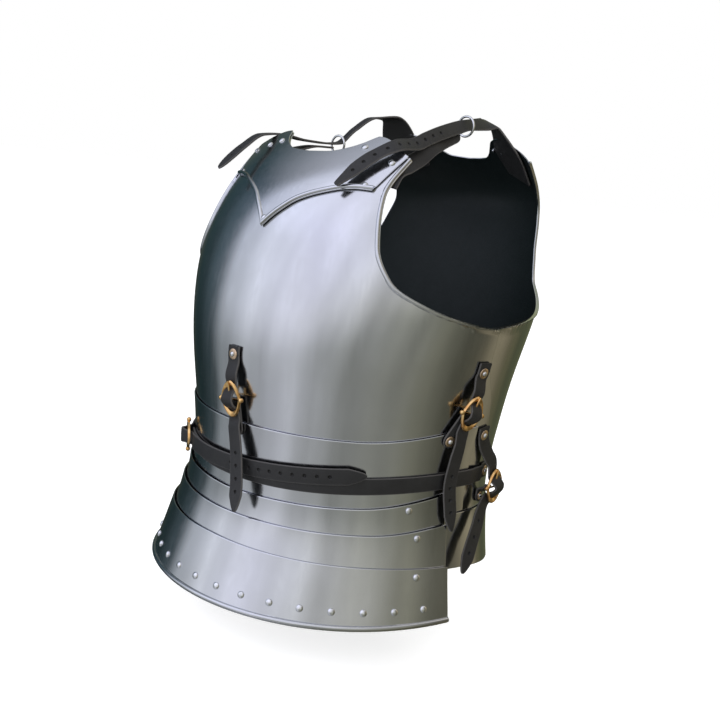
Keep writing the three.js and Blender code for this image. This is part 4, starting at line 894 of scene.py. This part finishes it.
step = buckleLifts(outerSeat)
onBelt = lambda a, lift, share=1, rise=0: onBody(a, beltDrop(a) - rise, lift, leather["belt"] * share)
ba, bh = belt["buckle"], belt["half"]
places = [onBelt(a, beltGround(a)) for a in [*belt["ends"], *np.linspace(belt["frontEnd"], ba, 17)]]
leatherPiece("waistBelt.left", "waist_belt_left", places, tip="square")
rightRun = np.linspace(-belt["frontEnd"], ba - bh * 1.25, 6)
places = [onBelt(a, beltGround(a)) for a in [*[-a for a in belt["ends"]], *rightRun]]
places += throughBuckle(lambda k, lift, share: onBelt(ba + bh * k, lift, share), step, belt["overBar"])
places += [onBelt(ba + bh * buckleRun["past"], step["under"], 1, belt["pastRise"])]
riseAt = lambda a: belt["overlapRise"] * (a - ba) / (belt["overlapEnd"] - ba)
places += [onBelt(a, overLayer, 1, riseAt(a)) for a in np.linspace(ba + 2 * bh, belt["overlapEnd"], 10)]
places += [onBelt(belt["tip"][0], overLayer, 1, belt["tip"][1])]
leatherPiece("waistBelt.right", "waist_belt_right", places, belt["holes"])
ahead = bodyPoint(ba - 1, beltDrop(ba), 0.0) - bodyPoint(ba + 1, beltDrop(ba), 0.0)
bucklePiece("beltBuckle", "belt_buckle", ba, beltDrop(ba), step["frame"], ba, ahead, belt["scale"])
for sign, sideName in ((1, "left"), (-1, "right")):
    washerRivet(f"beltRivet.{sideName}", f"belt_rivet_{sideName}", sign * belt["rivet"], beltDrop(belt["rivet"]),
                lifts["backplate"], onBackLift + leather["thick"])
print("straps and buckles made")

shoulders = {
    "width": 0.015, "rootWidth": 0.046, "rootSink": 0.003, "tabRoot": 0.48, "tabSink": 0.002,
    "ringRadius": 0.0104, "ringWire": 0.0013, "ringPlace": 3, "holes": [0.022 + 0.0135 * k for k in range(10)],
    "rivets": [(159.5, 0.072), (154.5, 0.078), (149, 0.085)], "root": [(149, 0.130), (149, 0.080)],
    # side, ahead, drop and width as shares of the half width, the front depth, the height and the width, and the
    # lean of the leather's face
    "left": [(0.375, -0.440, 0.036, 1.6, 0.35), (0.385, -0.371, 0.039, 1.2, 0.9), (0.405, -0.264, 0.0435, 1, 1.2),
             (0.430, -0.150, 0.0484, 0.9, 1.3), (0.445, -0.037, 0.0582, 1, 1.3), (0.465, 0.112, 0.0728, 1, 1.3),
             (0.475, 0.226, 0.0870, 1, 1.2), (0.482, 0.330, 0.1010, 1, 1.0), (0.486, 0.450, 0.1060, 1, 0.8),
             (0.43, 0.580, 0.1330, 1, 0.6), (0.37, 0.72, 0.180, 1, 0.5), (0.36, 0.745, 0.189, 1, 0.5)],
    "right": [(0.375, -0.440, 0.036, 1.6, 0.2), (0.405, -0.330, 0.040, 1.2, 0), (0.440, -0.21, 0.070, 1, 0),
              (0.465, -0.10, 0.105, 0.9, 0), (0.455, 0.04, 0.109, 1, 0), (0.455, 0.21, 0.108, 1, 0),
              (0.465, 0.37, 0.102, 1, 0), (0.48, 0.50, 0.107, 1, 0), (0.495, 0.61, 0.133, 1, 0),
              (0.50, 0.70, 0.160, 1, 0), (0.505, 0.77, 0.184, 1, 0)],
    "leftTab": [(0.488, 0.29, 0.1260, 1.15, 1.2), (0.485, 0.178, 0.1000, 1.1, 1.3), (0.455, 0.042, 0.0840, 1, 1.3),
                (0.436, -0.080, 0.0690, 1, 1.3)],
    "rightTab": [(0.46, 0.22, 0.126, 1.4, 0), (0.46, 0.10, 0.118, 1.1, 0), (0.46, -0.05, 0.1165, 1, 0)],
    "leftTabRoot": [(37.5, 0.175), (38, 0.150)], "rightTabRoot": [(29, 0.185), (31, 0.155)],
    "tips": {"left": "blunt", "right": "round"},
}


def spanPlaces(sign, rows):
    return [(np.array([sign * s * body["halfWidth"], -a * body["front"],
                       (body["originDrop"] - d) * body["height"]]),
             unit(np.array([sign * lean, 0, 1.0])), w * shoulders["width"]) for s, a, d, w, lean in rows]


def insideOf(plateName, sink):
    # the lift of leather that lies inside a plate
    return lifts[plateName] - leather["layer"] - leather["thick"] - sink


for sign, sideName in ((1, "left"), (-1, "right")):
    under = insideOf("backplate", shoulders["rootSink"])
    span = spanPlaces(sign, shoulders[sideName])
    places = [*[onBody(sign * a, d, under, shoulders["rootWidth"]) for a, d in shoulders["root"]], *span]
    leatherPiece(f"shoulderStrap.{sideName}", f"shoulder_strap_{sideName}", places, shoulders["holes"],
                 shoulders["tips"][sideName])
    tabUnder = insideOf("breastplate", shoulders["tabSink"])
    tabWidth = shoulders["rootWidth"] * shoulders["tabRoot"]
    rise = spanPlaces(sign, shoulders[sideName + "Tab"])
    roots = [onBody(sign * a, d, tabUnder, tabWidth) for a, d in shoulders[sideName + "TabRoot"]]
    (rootPoint, rootOut, rootWide), (risePoint, riseOut, riseWide) = roots[1], rise[0]
    between = ((rootPoint + risePoint) / 2, unit(rootOut + riseOut), (rootWide + riseWide) / 2)
    leatherPiece(f"shoulderTab.{sideName}", f"shoulder_tab_{sideName}", [*roots, between, *rise], tip="round")
    ringMiddle = span[shoulders["ringPlace"]][0] - np.array([0, 0, leather["thick"] / 4])
    t = np.linspace(0, 2 * math.pi, 64, endpoint=False)[:, None]
    circle = ringMiddle + shoulders["ringRadius"] * (np.cos(t) * [1, 0, 0] + np.sin(t) * [0, 0, 1])
    ring = outward(tube(circle, shoulders["ringWire"], (0, 1, 0), closed=True))
    settle(newPiece(f"ringBuckle.{sideName}", [ring], [rivetSteel]), f"ring_buckle_{sideName}")
    for i, (angle, drop) in enumerate(shoulders["rivets"], 1):
        washerRivet(f"shoulderRivet{i}.{sideName}", f"shoulder_rivet_{i}_{sideName}", sign * angle, drop, under,
                    lifts["backplate"] + thick, washers["shoulder"])
print("shoulders made")

studio = {"floorDrop": 0.05, "floorSize": 40.0, "floorCells": 25, "floorColour": (0.70, 0.70, 0.70),
          "floorFleck": (0.73, 0.73, 0.73), "floorRough": 0.9, "glow": 0.62}


def makeFloor():
    # a flat square grid below the part
    n, cells = studio["floorSize"], studio["floorCells"]
    z = float(cadLow[2]) - studio["floorDrop"]
    x, y = np.meshgrid(np.linspace(-n, n, cells), np.linspace(-n, n, cells), indexing="ij")
    points = np.stack([x, y, 0 * x + z], -1).reshape(-1, 3)
    material, tree, shader, where = startMaterial("paleFloor")
    faint = noise(tree, where, 3.0, 2.0)
    tone = blendColours(tree, faint, (*studio["floorColour"], 1), (*studio["floorFleck"], 1))
    tree.links.new(tone, shader.inputs["Base Color"])
    shader.inputs["Roughness"].default_value = studio["floorRough"]
    shader.inputs["Emission Color"].default_value = (1, 1, 1, 1)
    shader.inputs["Emission Strength"].default_value = studio["glow"]
    floor = newPiece("floor", [{"points": points, "faces": [gridFaces(cells, cells)]}], [material])
    floor.visible_glossy = False
    floor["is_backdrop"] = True


room = {
    "strength": 1.45, "overhead": (0.62, 0.63, 0.70), "overheadShare": 0.6,
    "overheadFrom": 0.45, "overheadTo": 0.95,  # shares of straight up
    # degrees from the wearer's front, + to the left, and the colour there
    "around": [(-180, (0.12, 0.13, 0.08)), (-150, (0.17, 0.18, 0.10)), (-126, (0.06, 0.07, 0.055)),
               (-100, (0.02, 0.04, 0.045)), (-76, (0.05, 0.075, 0.09)), (-58, (0.50, 0.53, 0.60)),
               (-40, (0.62, 0.64, 0.72)), (-10, (0.78, 0.79, 0.90)), (14, (0.60, 0.61, 0.66)),
               (40, (0.47, 0.475, 0.48)), (66, (0.44, 0.44, 0.41)), (96, (0.24, 0.235, 0.19)),
               (122, (0.11, 0.105, 0.08)), (146, (0.42, 0.36, 0.25)), (164, (0.16, 0.15, 0.09)),
               (180, (0.12, 0.13, 0.08))],
    # height from 0 straight down to 1 straight up, and the tint there
    "heights": [(0.0, (0.45, 0.45, 0.42)), (0.40, (0.55, 0.56, 0.52)), (0.52, (0.95, 0.95, 0.92)),
                (0.62, (1.1, 1.1, 1.12)), (0.80, (1.25, 1.25, 1.35)), (1.0, (1.5, 1.5, 1.6))],
    "bandScale": 3.4, "bandDark": 0.62, "bandBright": 1.30, "bandLean": 0.25,
}


def colourRamp(tree, place, stops, easing="LINEAR"):
    node = wire(tree, "ShaderNodeValToRGB", inputs={0: place})
    ramp = node.color_ramp
    ramp.interpolation = easing
    while len(ramp.elements) < len(stops):
        ramp.elements.new(0.5)
    for element, (position, colour) in zip(ramp.elements, stops):
        element.position = position
        element.color = (*colour, 1)
    return node.outputs[0]


def makeWorld():
    # the room that the steel mirrors: bright cloth in front of the wearer, darker at both sides and behind
    world = bpy.data.worlds.new("studio")
    world.use_nodes = True
    scene.world = world
    tree = world.node_tree
    tree.nodes.clear()
    where = tree.nodes.new("ShaderNodeTexCoord").outputs["Generated"]
    x, y, z = wire(tree, "ShaderNodeSeparateXYZ", inputs={0: where}).outputs
    azimuth = maths(tree, "ARCTAN2", x, maths(tree, "MULTIPLY", y, -1.0))
    turn = maths(tree, "MULTIPLY_ADD", azimuth, 1 / (2 * math.pi), 0.5)
    around = colourRamp(tree, turn, [((degrees + 180) / 360, colour) for degrees, colour in room["around"]], "EASE")
    height = colourRamp(tree, maths(tree, "MULTIPLY_ADD", z, 0.5, 0.5), room["heights"])
    # soft upright bands, from noise read along the azimuth
    bandPlace = wire(tree, "ShaderNodeCombineXYZ",
                     inputs={0: azimuth, 1: 0.0, 2: maths(tree, "MULTIPLY", z, room["bandLean"])})
    bands = wire(tree, "ShaderNodeMapRange",
                 inputs={"Value": noise(tree, bandPlace.outputs[0], room["bandScale"], 2.5, 0.6),
                         "From Min": 0.3, "From Max": 0.7,
                         "To Min": room["bandDark"], "To Max": room["bandBright"]}).outputs[0]
    bandGrey = wire(tree, "ShaderNodeCombineColor", inputs={0: bands, 1: bands, 2: bands}).outputs[0]
    mirror = blendColours(tree, 1.0, blendColours(tree, 1.0, around, bandGrey, "MULTIPLY"), height, "MULTIPLY")
    overhead = wire(tree, "ShaderNodeMapRange", interpolation_type="SMOOTHSTEP",
                    inputs={"Value": z, "From Min": room["overheadFrom"],
                            "From Max": room["overheadTo"]}).outputs[0]
    mirror = blendColours(tree, maths(tree, "MULTIPLY", overhead, room["overheadShare"]), mirror,
                          (*room["overhead"], 1))
    seen = tree.nodes.new("ShaderNodeLightPath").outputs["Is Camera Ray"]
    mirrored = wire(tree, "ShaderNodeBackground", inputs={0: mirror, 1: room["strength"]})
    plain = wire(tree, "ShaderNodeBackground", inputs={0: (1, 1, 1, 1), 1: 1.0})
    mixed = wire(tree, "ShaderNodeMixShader", inputs={0: seen, 1: mirrored.outputs[0], 2: plain.outputs[0]})
    wire(tree, "ShaderNodeOutputWorld", inputs={0: mixed.outputs[0]})


def makeLight(name, place, aim, size, power, colour):
    light = bpy.data.objects.new(name, bpy.data.lights.new(name, "AREA"))
    light.data.shape, light.data.size, light.data.size_y = "RECTANGLE", *size
    light.data.energy, light.data.color = power, colour
    light.location = place
    light.visible_glossy = False
    light.rotation_mode = "QUATERNION"
    light.rotation_quaternion = (Vector(aim) - Vector(place)).to_track_quat("-Z", "Y")
    scene.collection.objects.link(light)


makeFloor()
makeWorld()
softLights = [
    {"name": "frontSoft", "place": (-0.9, -2.4, 1.0), "aim": (0, 0, -0.25), "size": (1.4, 1.8), "power": 26,
     "colour": (0.97, 0.98, 1.0)},
    {"name": "sideSoft", "place": (2.4, -0.4, 1.2), "aim": (0, 0, -0.25), "size": (1.2, 1.6), "power": 14,
     "colour": (1.0, 0.98, 0.95)},
    {"name": "topSoft", "place": (0.0, 0.2, 2.4), "aim": (0, 0, 0), "size": (3.0, 3.0), "power": 40,
     "colour": (1.0, 1.0, 1.0)},
]
for light in softLights:
    makeLight(**light)
scene.view_settings.view_transform = "Standard"
print("studio made")

low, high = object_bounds()
